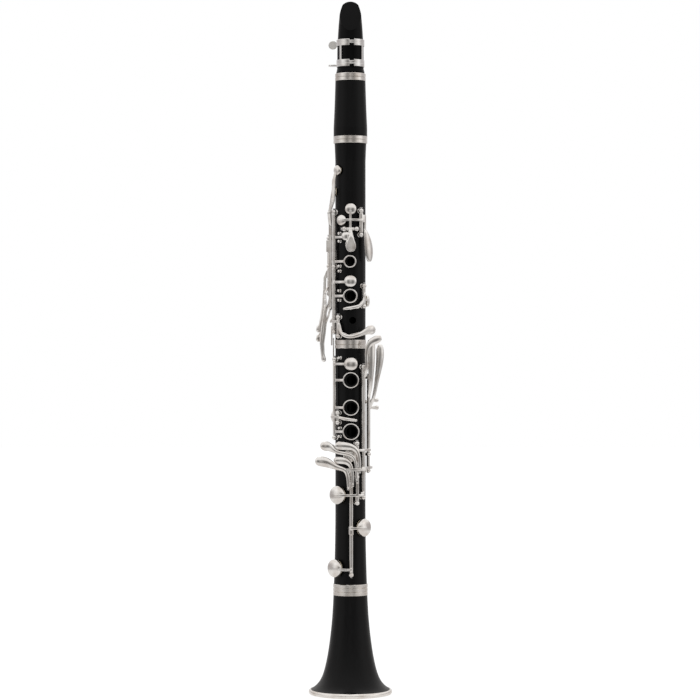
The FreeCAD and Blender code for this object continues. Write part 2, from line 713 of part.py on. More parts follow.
def make_ligature():
    inner = LIGATURE_RADIUS
    outer = inner + LIGATURE_THICK
    gap = 17.0
    pieces = []
    for low, high in (UPPER_BAND, LOWER_BAND):
        middle = (low + high) / 2
        band = hoop(inner, outer, -180 + gap, 180 - gap, middle, high - low)
        window_low = box(Vector(-0.9, -outer - 1, low - 1), Vector(3.4, 0, low + 1.9))
        window_high = box(Vector(-0.9, -outer - 1, high - 1.2), Vector(3.4, 0, high + 1))
        crease = turned((outer - 0.2, middle), (outer + 1, middle - 1.2), (outer + 1, middle + 1.2))
        band = cut(band, window_low, window_high, crease)
        for side in (-1, 1):
            lug_foot = polar(inner + 0.3, 180 - side * gap, middle)
            ear = box(Vector(-0.8, 0, -2.4), Vector(0.8, SCREW_LINE - lug_foot.y + 2.2, 2.4))
            ear.translate(Vector(lug_foot.x, lug_foot.y - 0.2, middle))
            pieces.append(ear)
            post = rod(
                Vector(lug_foot.x - 2.0, SCREW_LINE, middle), Vector(lug_foot.x + 2.0, SCREW_LINE, middle), 2.3
            )
            pieces.append(post)
        pieces.append(band)
    low = LOWER_BAND[1] - 0.5
    high = UPPER_BAND[0] + 0.5
    for turn in (-46.0, 60.0):
        pieces.append(hoop(inner, outer, turn - 5.4, turn + 5.4, (low + high) / 2, high - low))
    ligature = fuse(*pieces)
    for low, high in (UPPER_BAND, LOWER_BAND):
        middle = (low + high) / 2
        ligature = cut(ligature, rod(Vector(-20, SCREW_LINE, middle), Vector(20, SCREW_LINE, middle), SCREW_RADIUS + 0.05))
    save("ligature", ligature)


def thumb_screw(z, across):
    """A thumb screw along X with a flat round head towards -X, whose disc lies square to the direction across."""
    shaft = rod(Vector(7.4, SCREW_LINE, z), Vector(-13.4, SCREW_LINE, z), SCREW_RADIUS)
    collar = rod(Vector(-6.6, SCREW_LINE, z), Vector(-9.0, SCREW_LINE, z), 2.2)
    centre = Vector(-16.9, SCREW_LINE, z)
    disc = rod(centre - across * 0.75, centre + across * 0.75, 4.1)
    return fuse(shaft, collar, disc)


# ---------------------------------------------------------------- keys of the upper joint
def make_first_ring_key():
    axle = UPPER_RING_AXLE
    pad = PADS["first_ring"]
    low, high = axle.span(1)
    solids = [
        axle.hinge_tube(low, high),
        pad.cup(),
        hoop(pad.top - 1.0, pad.top + 0.3, RING_ROD_TURN, pad.turn + 3, pad.z - 1.0, ARM),
        RING_1.solid(),
        hoop(over_upper(1.3), over_upper(2.7), RING_ROD_TURN, RING_1.turn - 20, RING_1.z, ARM),
        hoop(LINK_TOP + 0.35, LINK_TOP + 1.05, -105, RING_ROD_TURN, LINK_LEVEL, 2.6),
    ]
    key("first_ring", axle, solids, [(low, high)], "first_ring", UP, RING_OPEN)


def make_second_ring_key():
    axle = UPPER_RING_AXLE
    pad = PADS["second_ring"]
    low, high = axle.span()
    solids = [
        axle.hinge_tube(low, high),
        pad.cup(),
        hoop(pad.top - 0.5, pad.top - 0.5 + ARM_THICK, RING_ROD_TURN, pad.turn + 3, pad.z - 0.8, ARM),
        RING_2.solid(),
        hoop(over_upper(1.4), over_upper(2.9), RING_ROD_TURN, RING_2.turn - 22.5, RING_2.z, ARM),
        hoop(over_upper(3.4), over_upper(4.8), -88, RING_ROD_TURN, 348.4, 3.4),
        hoop(over_upper(3.4), over_upper(4.8), -88, -77, 340.9, 18.4),
    ]
    key("second_ring", axle, solids, [(low, high)], "second_ring", UP, RING_OPEN)


def make_throat_a_key():
    axle = THROAT_A_AXLE
    pad = PADS["throat_a"]
    half = axle.start.x - BALL_FLAT - END_GAP
    y = axle.start.y
    z = axle.start.z
    tube = rod(Vector(-half, y, z), Vector(half, y, z), axle.tube)
    arm = box(Vector(-1.1, y - 1.5, z), Vector(1.1, y, pad.z - 1))
    leg = cup_leg(pad, -y + 1.0, 1.4)
    touch = chain(
        [Vector(0, y - 0.8, z), Vector(0, y - 2.7, z - 4.6), Vector(0, y - 3.2, z - 15.2), Vector(0, y - 3.0, z - 18.0)],
        [1.3, 2.2, 4.9, 3.9], FRONT, 1.3,
    )
    body = fuse(tube, pad.cup(), arm, leg, *touch)
    body = cut(body, rod(Vector(-10, y, z), Vector(10, y, z), ROD + ROD_IN_TUBE), pad_room(pad))
    save("throat_a_key", body)
    save("throat_a_pad", pad.pad())


def make_throat_gsharp_key():
    axle = GSHARP_AXLE
    pad = PADS["throat_gsharp"]
    low, high = axle.span()
    bridge = over_upper(5.8)
    centre = axle.at(450.5)
    solids = [
        axle.hinge_tube(low, high),
        pad.cup(),
        cup_leg(pad, bridge + 0.8, 1.4),
        hoop(bridge, bridge + 1.4, pad.turn - 4, 36, pad.z, 2.2),
        rod(centre, polar(bridge + 0.8, 35, 450.5), 1.1),
        hoop(over_upper(3.8), over_upper(5.2), 35, 50, 452.0, 7.0),
        hoop(over_upper(3.8), over_upper(5.2), 44, 50, 446.6, 18.0),
    ]
    touch = [polar(over_upper(4.5), 47, 441), polar(over_upper(6.2), 60, 423.5), polar(over_upper(6.2), 60, 415.0)]
    solids += chain(touch, [1.5, 4.2, 3.4], outward(56), 1.4)
    key("throat_gsharp", axle, solids, [(low, high)], "throat_gsharp")


def make_register_key():
    axle = REGISTER_AXLE
    pad = PADS["register"]
    half = 5.6 - BALL_FLAT - END_GAP
    y = axle.start.y
    z = axle.start.z
    tube = rod(Vector(-half, y, z), Vector(half, y, z), axle.tube)
    arm = box(Vector(-1.5, y, z), Vector(1.5, y + 1.6, pad.z - 3.0))
    rise = blade(Vector(0, y + 0.8, pad.z - 3), Vector(0, pad.top + 0.2, pad.z), 1.5, 1.5, Vector(0, 1, 0.2), 1.6)
    touch = fuse(
        blade(Vector(0, y + 0.8, z), Vector(0, y + 1.6, z - 14.0), 1.6, 4.4, Vector(0, 1, 0), 1.6),
        blade(Vector(0, y + 1.6, z - 14.0), Vector(0, y + 1.0, z - 21.0), 4.4, 3.4, Vector(0, 1, 0), 1.6),
    )
    body = fuse(tube, pad.cup(), arm, rise, touch)
    body = cut(body, rod(Vector(-10, y, z), Vector(10, y, z), ROD + ROD_IN_TUBE), pad_room(pad))
    save("register_key", body)
    save("register_pad", pad.pad())


def make_thumb_ring_key():
    axle = THUMB_AXLE
    low, high = axle.span()
    solids = [
        axle.hinge_tube(low, high),
        THUMB_RING.solid(),
        hoop(over_upper(1.3), over_upper(2.8), -155.5, -140, THUMB_RING.z + 3.4, ARM),
        hoop(LINK_TOP - 0.8, LINK_TOP, -140, -99, LINK_LEVEL, 2.6),
    ]
    key("thumb_ring", axle, solids, [(low, high)], None, DOWN, THUMB_OPEN)


THUMB_OPEN = 4.0
LINK_LEVEL = 411.4
LINK_TOP = over_upper(1.9)


def side_hub(low, high):
    return SIDE_AXLE.hinge_tube(low, high)


FRONT = Vector(0, -1, 0)
SIDE_BAR_HALF = 1.5
SIDE_BAR_THICK = 1.3
FIRST_LAYER = 3.5
SECOND_LAYER = 5.6


def split_span(span):
    middle = (span[0] + span[1]) / 2
    return (span[0], middle - END_GAP / 2), (middle + END_GAP / 2, span[1])


def side_bar(ahead, z):
    """A point on one of the long bars, by its distance towards the viewer from the side rod."""
    return Vector(SIDE_BAR, SIDE_ROD.y - ahead, z)


def make_side_keys():
    second_slot, first_slot = split_span(SIDE_AXLE.span(1))
    third_slot, fourth_slot = split_span(SIDE_AXLE.span())
    half = SIDE_BAR_HALF
    thick = SIDE_BAR_THICK
    x = SIDE_ROD.x
    y = SIDE_ROD.y

    pad = PADS["side_1"]
    front_bar = chain([side_bar(SECOND_LAYER, 366.5), side_bar(SECOND_LAYER, 446.0)], [half, half], FRONT, thick)
    crook = chain(
        [
            side_bar(SECOND_LAYER, 446.0), Vector(x, y - 10.2, 457.5), Vector(-over_upper(2.0), -10.4, 469.0),
            Vector(-over_upper(1.3), -10.0, 488.0), pad.point(pad.top + 0.3),
        ],
        [half, half, 1.7, 1.8, 1.3], FRONT + Vector(-0.5, 0, 0), thick,
    )
    tail = chain(
        [
            side_bar(SECOND_LAYER, 366.5), Vector(-over_upper(6.6), 2.6, 360.0), Vector(-over_upper(10.0), 5.8, 351.0),
            Vector(-over_upper(16.0), 9.0, 338.9),
        ],
        [half, 1.5, 1.6, 3.3], Vector(-0.9, 0.5, 0), thick,
    )
    low, high = first_slot
    cheek = box(Vector(x - 2.6, y - SECOND_LAYER - thick / 2, low), Vector(x - 1.5, y, high))
    bridge = box(
        Vector(x - 2.6, y - SECOND_LAYER - thick / 2, low), Vector(SIDE_BAR, y - SECOND_LAYER + thick / 2, high)
    )
    solids = front_bar + crook + tail + [side_hub(low, high), cheek, bridge, pad.cup(), cup_leg(pad, pad.top + 0.4)]
    key("side_1", SIDE_AXLE, solids, [first_slot], "side_1")

    pad = PADS["side_2"]
    bar = chain([side_bar(FIRST_LAYER, 379.0), side_bar(FIRST_LAYER, 462.0)], [half, half], FRONT, thick)
    crook = chain(
        [side_bar(FIRST_LAYER, 462.0), pad.point(pad.top + 0.2)], [half, 1.3], FRONT + Vector(-1.0, 0, 0), thick
    )
    tail = chain(
        [
            side_bar(FIRST_LAYER, 379.0), Vector(-over_upper(6.6), 3.6, 371.0), Vector(-over_upper(10.6), 6.6, 359.0),
            Vector(-over_upper(16.0), 9.4, 347.8),
        ],
        [0.9, 1.5, 1.6, 3.3], Vector(-0.9, 0.5, 0), thick,
    )
    low, high = second_slot
    web = box(Vector(x, y - FIRST_LAYER, low), Vector(x + 1.6, y, high))
    solids = bar + crook + tail + [side_hub(low, high), web, pad.cup(), cup_leg(pad, pad.top + 0.4)]
    key("side_2", SIDE_AXLE, solids, [second_slot], "side_2")

    pad = PADS["side_3"]
    low, high = third_slot
    touch = chain(
        [
            Vector(-over_upper(7.45), 1.2, low + 4.0), Vector(-over_upper(9.6), -0.5, 382.0),
            Vector(-over_upper(9.5), -1.6, 374.0), Vector(-over_upper(10.4), -3.4, 356.0),
            Vector(-over_upper(12.6), -3.7, 334.0), Vector(-over_upper(11.9), -3.2, 322.5),
            Vector(-over_upper(10.8), -3.0, 318.8),
        ],
        [0.8, 0.9, 1.3, 1.9, 2.2, 1.7, 1.9], FRONT, 1.4,
    )
    arm = chain(
        [Vector(-over_upper(4.5), 4.8, low + 4), polar(over_upper(5.0), -118, 378.0), pad.point(pad.top + 0.3)],
        [1.4, 1.4, 1.3], outward(-118), thick,
    )
    solids = touch + arm + [side_hub(low, high), pad.cup(), cup_leg(pad, pad.top + 0.4)]
    key("side_3", SIDE_AXLE, solids, [third_slot], "side_3")

    pad = PADS["side_4"]
    low, high = fourth_slot
    touch = chain(
        [
            Vector(-over_upper(7.4), 3.2, high - 3), Vector(-over_upper(9.9), 3.2, low + 2),
            Vector(-over_upper(10.3), 2.4, 384.0), Vector(-over_upper(11.2), 1.2, 366.0),
            Vector(-over_upper(13.6), 0.4, 351.0), Vector(-over_upper(14.2), 0.3, 345.8),
        ],
        [1.4, 1.4, 1.4, 1.6, 2.1, 1.8], FRONT, 1.4,
    )
    arm = chain(
        [Vector(-over_upper(4.5), 4.8, low + 2.6), pad.point(pad.top + 0.3)], [1.4, 1.3], outward(-115), thick,
    )
    solids = touch + arm + [side_hub(low, high), pad.cup(), cup_leg(pad, pad.top + 0.4)]
    key("side_4", SIDE_AXLE, solids, [fourth_slot], "side_4")


def make_left_sliver_key():
    axle = SLIVER_AXLE
    pad = PADS["left_sliver"]
    low, high = axle.span()
    solids = [
        axle.hinge_tube(low, high),
        pad.cup(),
        hoop(pad.top - 0.5, pad.top + 0.9, 48, pad.turn + 4, pad.z + 1.0, ARM),
        blade(polar(over_upper(3.6), 41, 373.5), polar(over_upper(3.0), 24, 368.2), 1.4, 1.5, outward(32), 1.5),
        blade(polar(over_upper(3.0), 24, 368.2), polar(over_upper(3.0), 0, 367.0), 1.46, 1.44, outward(12), 1.42),
        blade(polar(over_upper(3.0), 0, 367.0), polar(over_upper(3.0), -20, 366.4), 1.5, 1.1, outward(-10), 1.5),
    ]
    key("left_sliver", axle, solids, [(low, high)], "left_sliver")


def make_csharp_key():
    axle = CSHARP_AXLE
    pad = PADS["csharp_gsharp"]
    low, high = axle.span()
    arch = over_upper(6.2)
    solids = [
        axle.hinge_tube(low, high),
        pad.cup(),
        rod(axle.at(354.4), polar(arch, -41, 354.4), 1.1),
        hoop(arch - 0.6, arch + 0.6, -68, -40, 354.4, 2.2),
        blade(polar(arch, -67, 354.4), pad.point(pad.top + 0.1), 1.1, 1.3, outward(-80), 1.2),
        blade(polar(over_upper(3.8), -36, 352.0), polar(over_upper(3.8), -28, 343.5), 1.4, 1.4, outward(-32), 1.6),
        blade(polar(over_upper(3.8), -28, 343.5), polar(over_upper(3.8), -5, 340.3), 1.4, 1.5, outward(-16), 1.6),
        blade(polar(over_upper(3.8), -5, 340.3), polar(over_upper(4.0), 24, 342.6), 1.5, 1.6, outward(10), 1.6),
        blade(polar(over_upper(4.0), 24, 342.6), polar(over_upper(6.2), 50, 345.0), 1.6, 2.4, outward(38), 1.6),
        blade(polar(over_upper(6.2), 50, 345.0), polar(over_upper(8.2), 62, 346.4), 2.4, 4.4, outward(50), 1.6),
    ]
    key("csharp_gsharp", axle, solids, [(low, high)], "csharp_gsharp")


# ---------------------------------------------------------------- keys of the lower joint
def make_lower_ring_key():
    axle = LOWER_RING_AXLE
    pad = PADS["lower_ring"]
    low, high = axle.span()
    solids = [
        axle.hinge_tube(low, high),
        pad.cup(),
        hoop(pad.top - 0.5, pad.top + 1.0, LOWER_RING_ROD_TURN, pad.turn + 3, pad.z, ARM),
        hoop(over_lower(1.85), over_lower(3.05), -88, LOWER_RING_ROD_TURN, 313.4, 3.4),
        hoop(over_lower(1.85), over_lower(3.05), -87, -78, 325.4, 27.4),
    ]
    for ring in (RING_3, RING_4, RING_5):
        solids.append(ring.solid())
        solids.append(hoop(over_lower(1.55), over_lower(3.05), LOWER_RING_ROD_TURN, ring.turn - 25, ring.z, ARM))
    key("lower_ring", axle, solids, [(low, high)], "lower_ring", UP, RING_OPEN)


def make_lower_sliver_key():
    axle = LOWER_SLIVER_AXLE
    pad = PADS["b_fsharp"]
    low, high = axle.span()
    arch = over_lower(5.65)
    solids = [
        axle.hinge_tube(low, high),
        pad.cup(),
        rod(axle.at(264.0), polar(arch, -43, 264.0), 1.1),
        hoop(arch - 0.6, arch + 0.6, -66, -42, 264.0, 2.2),
        blade(polar(arch, -65, 264.0), pad.point(pad.top + 0.1), 1.1, 1.3, outward(-78), 1.2),
        blade(polar(over_lower(3.25), -40, 263.6), polar(over_lower(3.05), -18, 262.0), 1.3, 1.4, outward(-30), 1.5),
        blade(polar(over_lower(3.05), -18, 262.0), polar(over_lower(3.05), 5, 261.0), 1.4, 1.4, outward(-6), 1.5),
        blade(polar(over_lower(3.05), 5, 261.0), polar(over_lower(3.05), 17, 260.8), 1.4, 1.3, outward(12), 1.5),
    ]
    key("b_fsharp", axle, solids, [(low, high)], "b_fsharp")


PLATE = -over_lower(7.25)
PLATE_THICK = 1.6


def front(x, z, y=PLATE):
    return Vector(x, y, z)


def make_right_hand_keys():
    # The four touches lie in one layer in front of the body, and their levers turn down side by side.
    facing = FRONT
    centre = CENTRE_AXLE
    inner = F_KEY_AXLE

    pad = PADS["fsharp_csharp"]
    low, high = inner.span(1)
    touch = chain(
        [
            front(-10.8, 237.6), front(-1.5, 236.6), front(4.0, 234.6), front(7.6, 228.5), front(8.3, 218.5),
            front(8.3, 212.0),
        ],
        [3.5, 2.8, 1.6, 1.2, 1.15, 1.15], facing, PLATE_THICK,
    )
    solids = touch + [
        inner.hinge_tube(low, high),
        pad.cup(),
        hoop(pad.top - 0.5, pad.top + 0.8, pad.turn - 3, 20, 226.0, ARM),
        box(Vector(7.1, PLATE, 211.5), Vector(9.2, inner.start.y, 217.0)),
        hoop(over_lower(7.05), over_lower(8.25), 18, 40, 232.6, 2.4),
    ]
    key("fsharp_csharp", inner, solids, [(low, high)], "fsharp_csharp", DOWN, KEY_OPEN)

    pad = PADS["f_c"]
    low, high = inner.span()
    touch = chain(
        [
            front(-23.9, 236.6), front(-18.6, 235.4), front(-12.0, 231.0), front(-3.0, 229.0), front(3.0, 226.2),
            front(5.1, 220.0), front(5.2, 212.0), front(5.8, 203.0),
        ],
        [4.0, 3.4, 1.4, 1.3, 1.2, 1.1, 1.1, 1.3], facing, PLATE_THICK,
    )
    solids = touch + [
        inner.hinge_tube(low, high),
        pad.cup(),
        cup_leg(pad, 21.6, 1.6),
        hoop(over_lower(6.45), over_lower(7.85), pad.turn - 3, 37, 190.0, ARM),
        hoop(over_lower(5.85), over_lower(6.65), 31, 37, 190.0, ARM),
        box(Vector(inner.start.x - 1.4, PLATE, 189.0), Vector(inner.start.x + 1.0, inner.start.y, 204.0)),
    ]
    key("f_c", inner, solids, [(low, high)], "f_c", DOWN, KEY_OPEN)

    pad = PADS["ab_eb"]
    low = 152.6
    high = 202.9
    touch = chain(
        [front(-12.6, 223.2), front(-5.0, 221.8), front(0.2, 218.6), front(2.1, 212.5), front(2.3, 199.0)],
        [3.3, 2.4, 1.3, 1.15, 1.2], facing, PLATE_THICK,
    )
    solids = touch + [
        centre.hinge_tube(low, high),
        centre.hinge_tube(low, low + 7.6, 2.5),
        pad.cup(),
        cup_leg(pad, 21.4, 1.6),
        hoop(over_lower(6.25), over_lower(7.65), 2, pad.turn + 3, 158.8, ARM),
        rod(centre.at(158.8), polar(over_lower(6.95), 2.5, 158.8), 1.2),
        box(Vector(1.2, PLATE, 197.8), Vector(2.5, centre.start.y, 202.6)),
    ]
    key("ab_eb", centre, solids, [(low, high)], "ab_eb")

    pad = PADS["e_b"]
    top_low = 203.0
    foot_low, top_high = centre.span()
    foot_high = 152.5
    touch = chain(
        [
            front(-28.4, 222.8), front(-20.5, 219.8), front(-12.0, 215.8), front(-6.0, 214.6), front(-2.9, 211.6),
            front(-2.4, 196.0),
        ],
        [4.3, 3.4, 1.6, 1.5, 1.3, 1.2], facing, PLATE_THICK,
    )
    spindle = rod(centre.at(foot_low), centre.at(top_high), ROD)
    solids = touch + [
        spindle,
        centre.hinge_tube(top_low, top_high),
        centre.hinge_tube(foot_low, foot_high),
        pad.cup(),
        cup_leg(pad, 21.8, 1.6),
        hoop(over_lower(6.65), over_lower(8.05), pad.turn - 3, 3, 119.6, ARM),
        rod(centre.at(119.6), polar(over_lower(7.25), 2.5, 119.6), 1.2),
        box(Vector(-3.2, PLATE, 203.6), Vector(-0.5, centre.start.y, 208.4)),
        rod(front(-4.0, 213.6), polar(over_lower(11.65), -9, 214.4), 1.2),
        hoop(STRAP, STRAP + 1.2, -11, 35, 214.4, ARM),
        rod(polar(STRAP + 0.6, 34, 214.4), polar(over_lower(8.15), 34, 214.4), 1.1),
    ]
    body = cut(fuse(*solids), pad_room(pad))
    for end, away in ((centre.at(foot_low), 1), (centre.at(top_high), -1)):
        body = cut(body, rod(end - UP * 0.5 * away, end + UP * 1.6 * away, PIVOT + ROD_IN_TUBE))
    body = open_by(body, centre, DOWN, KEY_OPEN)
    save("e_b_key", body)
    save("e_b_pad", open_by(pad.pad(), centre, DOWN, KEY_OPEN))


PIVOT = 0.6
STRAP = over_lower(11.05)


def make_left_hand_levers():
    # F / C lever: a long tube at the right of the front, ending in a finger under the F / C key's lug.
    axle = F_LEVER_AXLE
    low, high = axle.span()
    solids = [
        axle.hinge_tube(low, high),
        hoop(over_lower(4.05), over_lower(5.25), 31, 44, 191.6, 2.4),
    ]
    solids += chain(
        [
            polar(over_lower(5.6), 44.6, 303.0), polar(over_lower(8.15), 43.9, 312.0), polar(over_lower(7.75), 41.3, 323.0),
            polar(over_lower(10.3), 48.3, 333.0), polar(over_lower(12.7), 53.7, 336.2), polar(over_lower(15.55), 59.0, 338.0),
        ],
        [1.4, 1.4, 1.4, 1.8, 2.4, 3.4], Vector(0.3, -1, 0), 1.5,
    )
    body = cut(fuse(*solids), axle.bore(low, high))
    save("left_f_c_lever", body)

    axle = FSHARP_LEVER_AXLE
    low, high = axle.span()
    solids = [
        axle.hinge_tube(low, high),
        hoop(over_lower(5.15), over_lower(6.35), 34, 72, 232.6, 2.4),
    ]
    solids += chain(
        [
            polar(over_lower(4.65), 67.8, 284.0), polar(over_lower(7.4), 60.8, 296.0), polar(over_lower(8.0), 59.5, 312.0),
            polar(over_lower(8.15), 59.0, 334.6),
        ],
        [1.5, 1.7, 2.5, 3.1], Vector(0.3, -1, 0), 1.6,
    )
    body = cut(fuse(*solids), axle.bore(low, high))
    save("left_fsharp_csharp_lever", body)

    axle = E_LEVER_AXLE
    low, high = axle.span()
    solids = [
        axle.hinge_tube(low, high),
        hoop(over_lower(5.55), over_lower(6.75), 31, 112, 215.6, 2.4),
        box(Vector(axle.start.x - 1.0, axle.start.y - 3.2, 270.5), Vector(axle.start.x + 2.2, axle.start.y, 274.5)),
    ]
    solids += chain(
        [
            polar(over_lower(3.95), 100.0, 272.5), polar(over_lower(7.3), 91.0, 281.0), polar(over_lower(9.6), 88.0, 293.0),
            polar(over_lower(11.7), 86.5, 307.0), polar(over_lower(13.6), 86.0, 320.0), polar(over_lower(13.7), 86.0, 327.5),
        ],
        [1.5, 1.4, 1.5, 2.2, 3.4, 3.5], Vector(0.3, -1, 0), 1.6,
    )
    body = cut(fuse(*solids), axle.bore(low, high))
    save("left_e_b_lever", body)


# ---------------------------------------------------------------- fixed hardware
def saddle_centres():
    points = []
    for axle in (THROAT_A_AXLE, REGISTER_AXLE):
        points += [axle.start, axle.end]
    return points


def saddle_post(centre):
    """A post beside a crosswise rod: it stands straight out of the wood, to the front or the back."""
    side = 1 if centre.y > 0 else -1
    wood = math.sqrt(UPPER_RADIUS**2 - centre.x**2)
    deep = Vector(centre.x, side * (wood - SHANK_DEPTH), centre.z)
    level = Vector(centre.x, side * (wood - 0.8), centre.z)
    raised = Vector(centre.x, side * (wood + FOOT_HEIGHT), centre.z)
    along = Vector(1, 0, 0)
    low = centre - along * BALL_FLAT
    high = centre + along * BALL_FLAT
    ball = Part.makeSphere(BALL, centre).common(rod(low, high, 2 * BALL))
    body = fuse(rod(deep, raised, SHANK), rod(level, raised, FOOT), rod(level, centre, SHANK), ball)
    return cut(body, rod(low - along * 3, high + along * 3, ROD + ROD_IN_POST))


def saddle_seat(centre):
    side = 1 if centre.y > 0 else -1
    wood = math.sqrt(UPPER_RADIUS**2 - centre.x**2)
    deep = Vector(centre.x, side * (wood - SHANK_DEPTH), centre.z)
    level = Vector(centre.x, side * (wood - 0.8), centre.z)
    return fuse(rod(deep, level, SHANK), rod(level, Vector(centre.x, side * 20, centre.z), FOOT))


def make_posts():
    upper = [ball_post(centre, axle.along, axle.wood) for axle, centre in post_centres(UPPER_AXLES)]
    upper += [saddle_post(centre) for centre in saddle_centres()]
    lower = [ball_post(centre, axle.along, axle.wood) for axle, centre in post_centres(LOWER_AXLES)]
    save("upper_joint_posts", *upper, *springs(UPPER_SPRINGS))
    save("lower_joint_posts", *lower, *springs(LOWER_SPRINGS))


def make_rods():
    upper = [axle.rod_solid() for axle in UPPER_AXLES]
    upper += [THROAT_A_AXLE.rod_solid(), REGISTER_AXLE.rod_solid()]
    save("upper_joint_rods", *upper)
    lower = [axle.rod_solid() for axle in LOWER_AXLES if axle is not CENTRE_AXLE]
    for end, away in ((CENTRE_AXLE.start, 1), (CENTRE_AXLE.end, -1)):
        screw = rod(end - UP * (BALL_FLAT + 0.9) * away, end + UP * (BALL_FLAT * away), ROD)
        tip = rod(end + UP * (BALL_FLAT * away), end + UP * ((BALL_FLAT + 1.4) * away), PIVOT)
        lower.append(fuse(screw, tip))
    save("lower_joint_rods", *lower)


UPPER_SPRINGS = [
    (UPPER_RING_AXLE, UPPER_RING_AXLE.posts[0], SPRING_LENGTH),
    (UPPER_RING_AXLE, UPPER_RING_AXLE.posts[1], SPRING_LENGTH),
    (GSHARP_AXLE, GSHARP_AXLE.posts[0], 9.0),
    (SLIVER_AXLE, SLIVER_AXLE.posts[0], 7.0),
    (CSHARP_AXLE, CSHARP_AXLE.posts[0], 6.6),
    (THUMB_AXLE, THUMB_AXLE.posts[0], 5.0),
    (SIDE_AXLE, SIDE_AXLE.posts[0], SPRING_LENGTH),
    (SIDE_AXLE, SIDE_AXLE.posts[2], -SPRING_LENGTH),
]
LOWER_SPRINGS = [
    (LOWER_RING_AXLE, LOWER_RING_AXLE.posts[0], SPRING_LENGTH),
    (F_LEVER_AXLE, F_LEVER_AXLE.posts[1], -SPRING_LENGTH),
    (FSHARP_LEVER_AXLE, FSHARP_LEVER_AXLE.posts[1], -SPRING_LENGTH),
    (E_LEVER_AXLE, E_LEVER_AXLE.posts[1], -SPRING_LENGTH),
    (F_KEY_AXLE, F_KEY_AXLE.posts[0], SPRING_LENGTH),
    (F_KEY_AXLE, F_KEY_AXLE.posts[2], -SPRING_LENGTH),
    (CENTRE_AXLE, CENTRE_AXLE.posts[1], -SPRING_LENGTH),
]


def springs(places):
    """Needle springs: each runs along the wood from the foot of its post."""
    wires = []
    for axle, z, length in places:
        reach = axle.wood + SPRING + 0.12
        turn = math.degrees(math.atan2(axle.start.x, -axle.start.y))
        start = z + math.copysign(FOOT + 0.02, length)
        wires.append(rod(polar(reach, turn, start), polar(reach, turn, start + length), SPRING))
    return wires


REST_LEVEL = 255.0
REST_SCREWS = (-5.0, 5.0)


def rest_screw_holes():
    return [rod(Vector(0, 9.5, REST_LEVEL + dz), Vector(0, 20, REST_LEVEL + dz), 1.3) for dz in REST_SCREWS]


def make_thumb_rest():
    low = REST_LEVEL - 9
    high = REST_LEVEL + 9
    gap = 0.05
    base = hoop(LOWER_RADIUS + gap, LOWER_RADIUS + 1.6, 180 - 26, 180 + 26, REST_LEVEL, high - low)
    hook = box(Vector(-6.5, LOWER_RADIUS + 0.9, REST_LEVEL - 1.4), Vector(6.5, LOWER_RADIUS + 15.5, REST_LEVEL + 1.4))
    curl = box(Vector(-6.5, LOWER_RADIUS + 12.9, REST_LEVEL - 5.5), Vector(6.5, LOWER_RADIUS + 15.5, REST_LEVEL))
    ring = turned((1.9, -1.1), (3.4, -1.1), (3.4, 1.1), (1.9, 1.1))
    loop = stand(ring, Vector(0, LOWER_RADIUS + 4.0, high + 2.8), Vector(1, 0, 0))
    neck = box(Vector(-1.1, LOWER_RADIUS + 0.9, high - 2.4), Vector(1.1, LOWER_RADIUS + 3.4, high + 0.6))
    rest = fuse(base, hook, curl, neck, loop)
    for dz in REST_SCREWS:
        rest = cut(rest, rod(Vector(0, 10, REST_LEVEL + dz), Vector(0, 30, REST_LEVEL + dz), 1.3))
    screws = []
    for dz in REST_SCREWS:
        z = REST_LEVEL + dz
        shank = rod(Vector(0, 10, z), Vector(0, LOWER_RADIUS + 1.7, z), 1.25)
        head = rod(Vector(0, LOWER_RADIUS + 1.65, z), Vector(0, LOWER_RADIUS + 2.5, z), 2.3)
        screws.append(fuse(shank, head))
    save("thumb_rest", rest, *screws)


make_bell()
make_lower_joint()
make_upper_joint()
make_upper_tubes()
make_barrel()
make_mouthpiece()
make_reed()
make_ligature()
save("ligature_screw_upper", thumb_screw(sum(UPPER_BAND) / 2, Vector(0, 1, 0)))
save("ligature_screw_lower", thumb_screw(sum(LOWER_BAND) / 2, Vector(0, 0, 1)))
make_first_ring_key()
make_second_ring_key()
make_throat_a_key()
make_throat_gsharp_key()
make_register_key()
make_thumb_ring_key()
make_side_keys()
make_left_sliver_key()
make_csharp_key()
make_lower_ring_key()
make_lower_sliver_key()
make_right_hand_keys()
make_left_hand_levers()
make_posts()
make_rods()
make_thumb_rest()

os.makedirs("parts", exist_ok=True)
for name, shape in parts.items():
    shape.exportStep(os.path.join("parts", name + ".step"))
print(len(parts), "nodes")
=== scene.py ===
"""The looks of a clarinet that stands on its bell: materials, soft edges, small fittings, studio and camera."""
import json
import math

import bmesh
import bpy
from mathutils import Matrix, Vector


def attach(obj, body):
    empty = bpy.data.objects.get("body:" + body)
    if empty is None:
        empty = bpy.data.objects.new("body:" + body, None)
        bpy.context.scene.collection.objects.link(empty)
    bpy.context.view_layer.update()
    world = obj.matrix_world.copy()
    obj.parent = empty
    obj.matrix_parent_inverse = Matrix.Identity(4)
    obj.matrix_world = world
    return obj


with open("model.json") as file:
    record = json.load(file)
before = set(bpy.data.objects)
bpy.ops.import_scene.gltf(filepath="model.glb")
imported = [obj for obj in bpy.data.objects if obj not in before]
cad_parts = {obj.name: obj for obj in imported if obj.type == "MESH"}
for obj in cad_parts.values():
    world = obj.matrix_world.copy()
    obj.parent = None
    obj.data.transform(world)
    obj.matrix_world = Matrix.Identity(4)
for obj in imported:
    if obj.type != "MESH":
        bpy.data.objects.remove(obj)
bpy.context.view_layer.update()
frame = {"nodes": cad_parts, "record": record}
nodes = frame["nodes"]

MM = 0.001
FRONT = (0, -1, 0)
UPWARD = (0, 0, 1)


def deselect_all():
    if bpy.context.object and bpy.context.object.mode != "OBJECT":
        bpy.ops.object.mode_set(mode="OBJECT")
    bpy.ops.object.select_all(action="DESELECT")


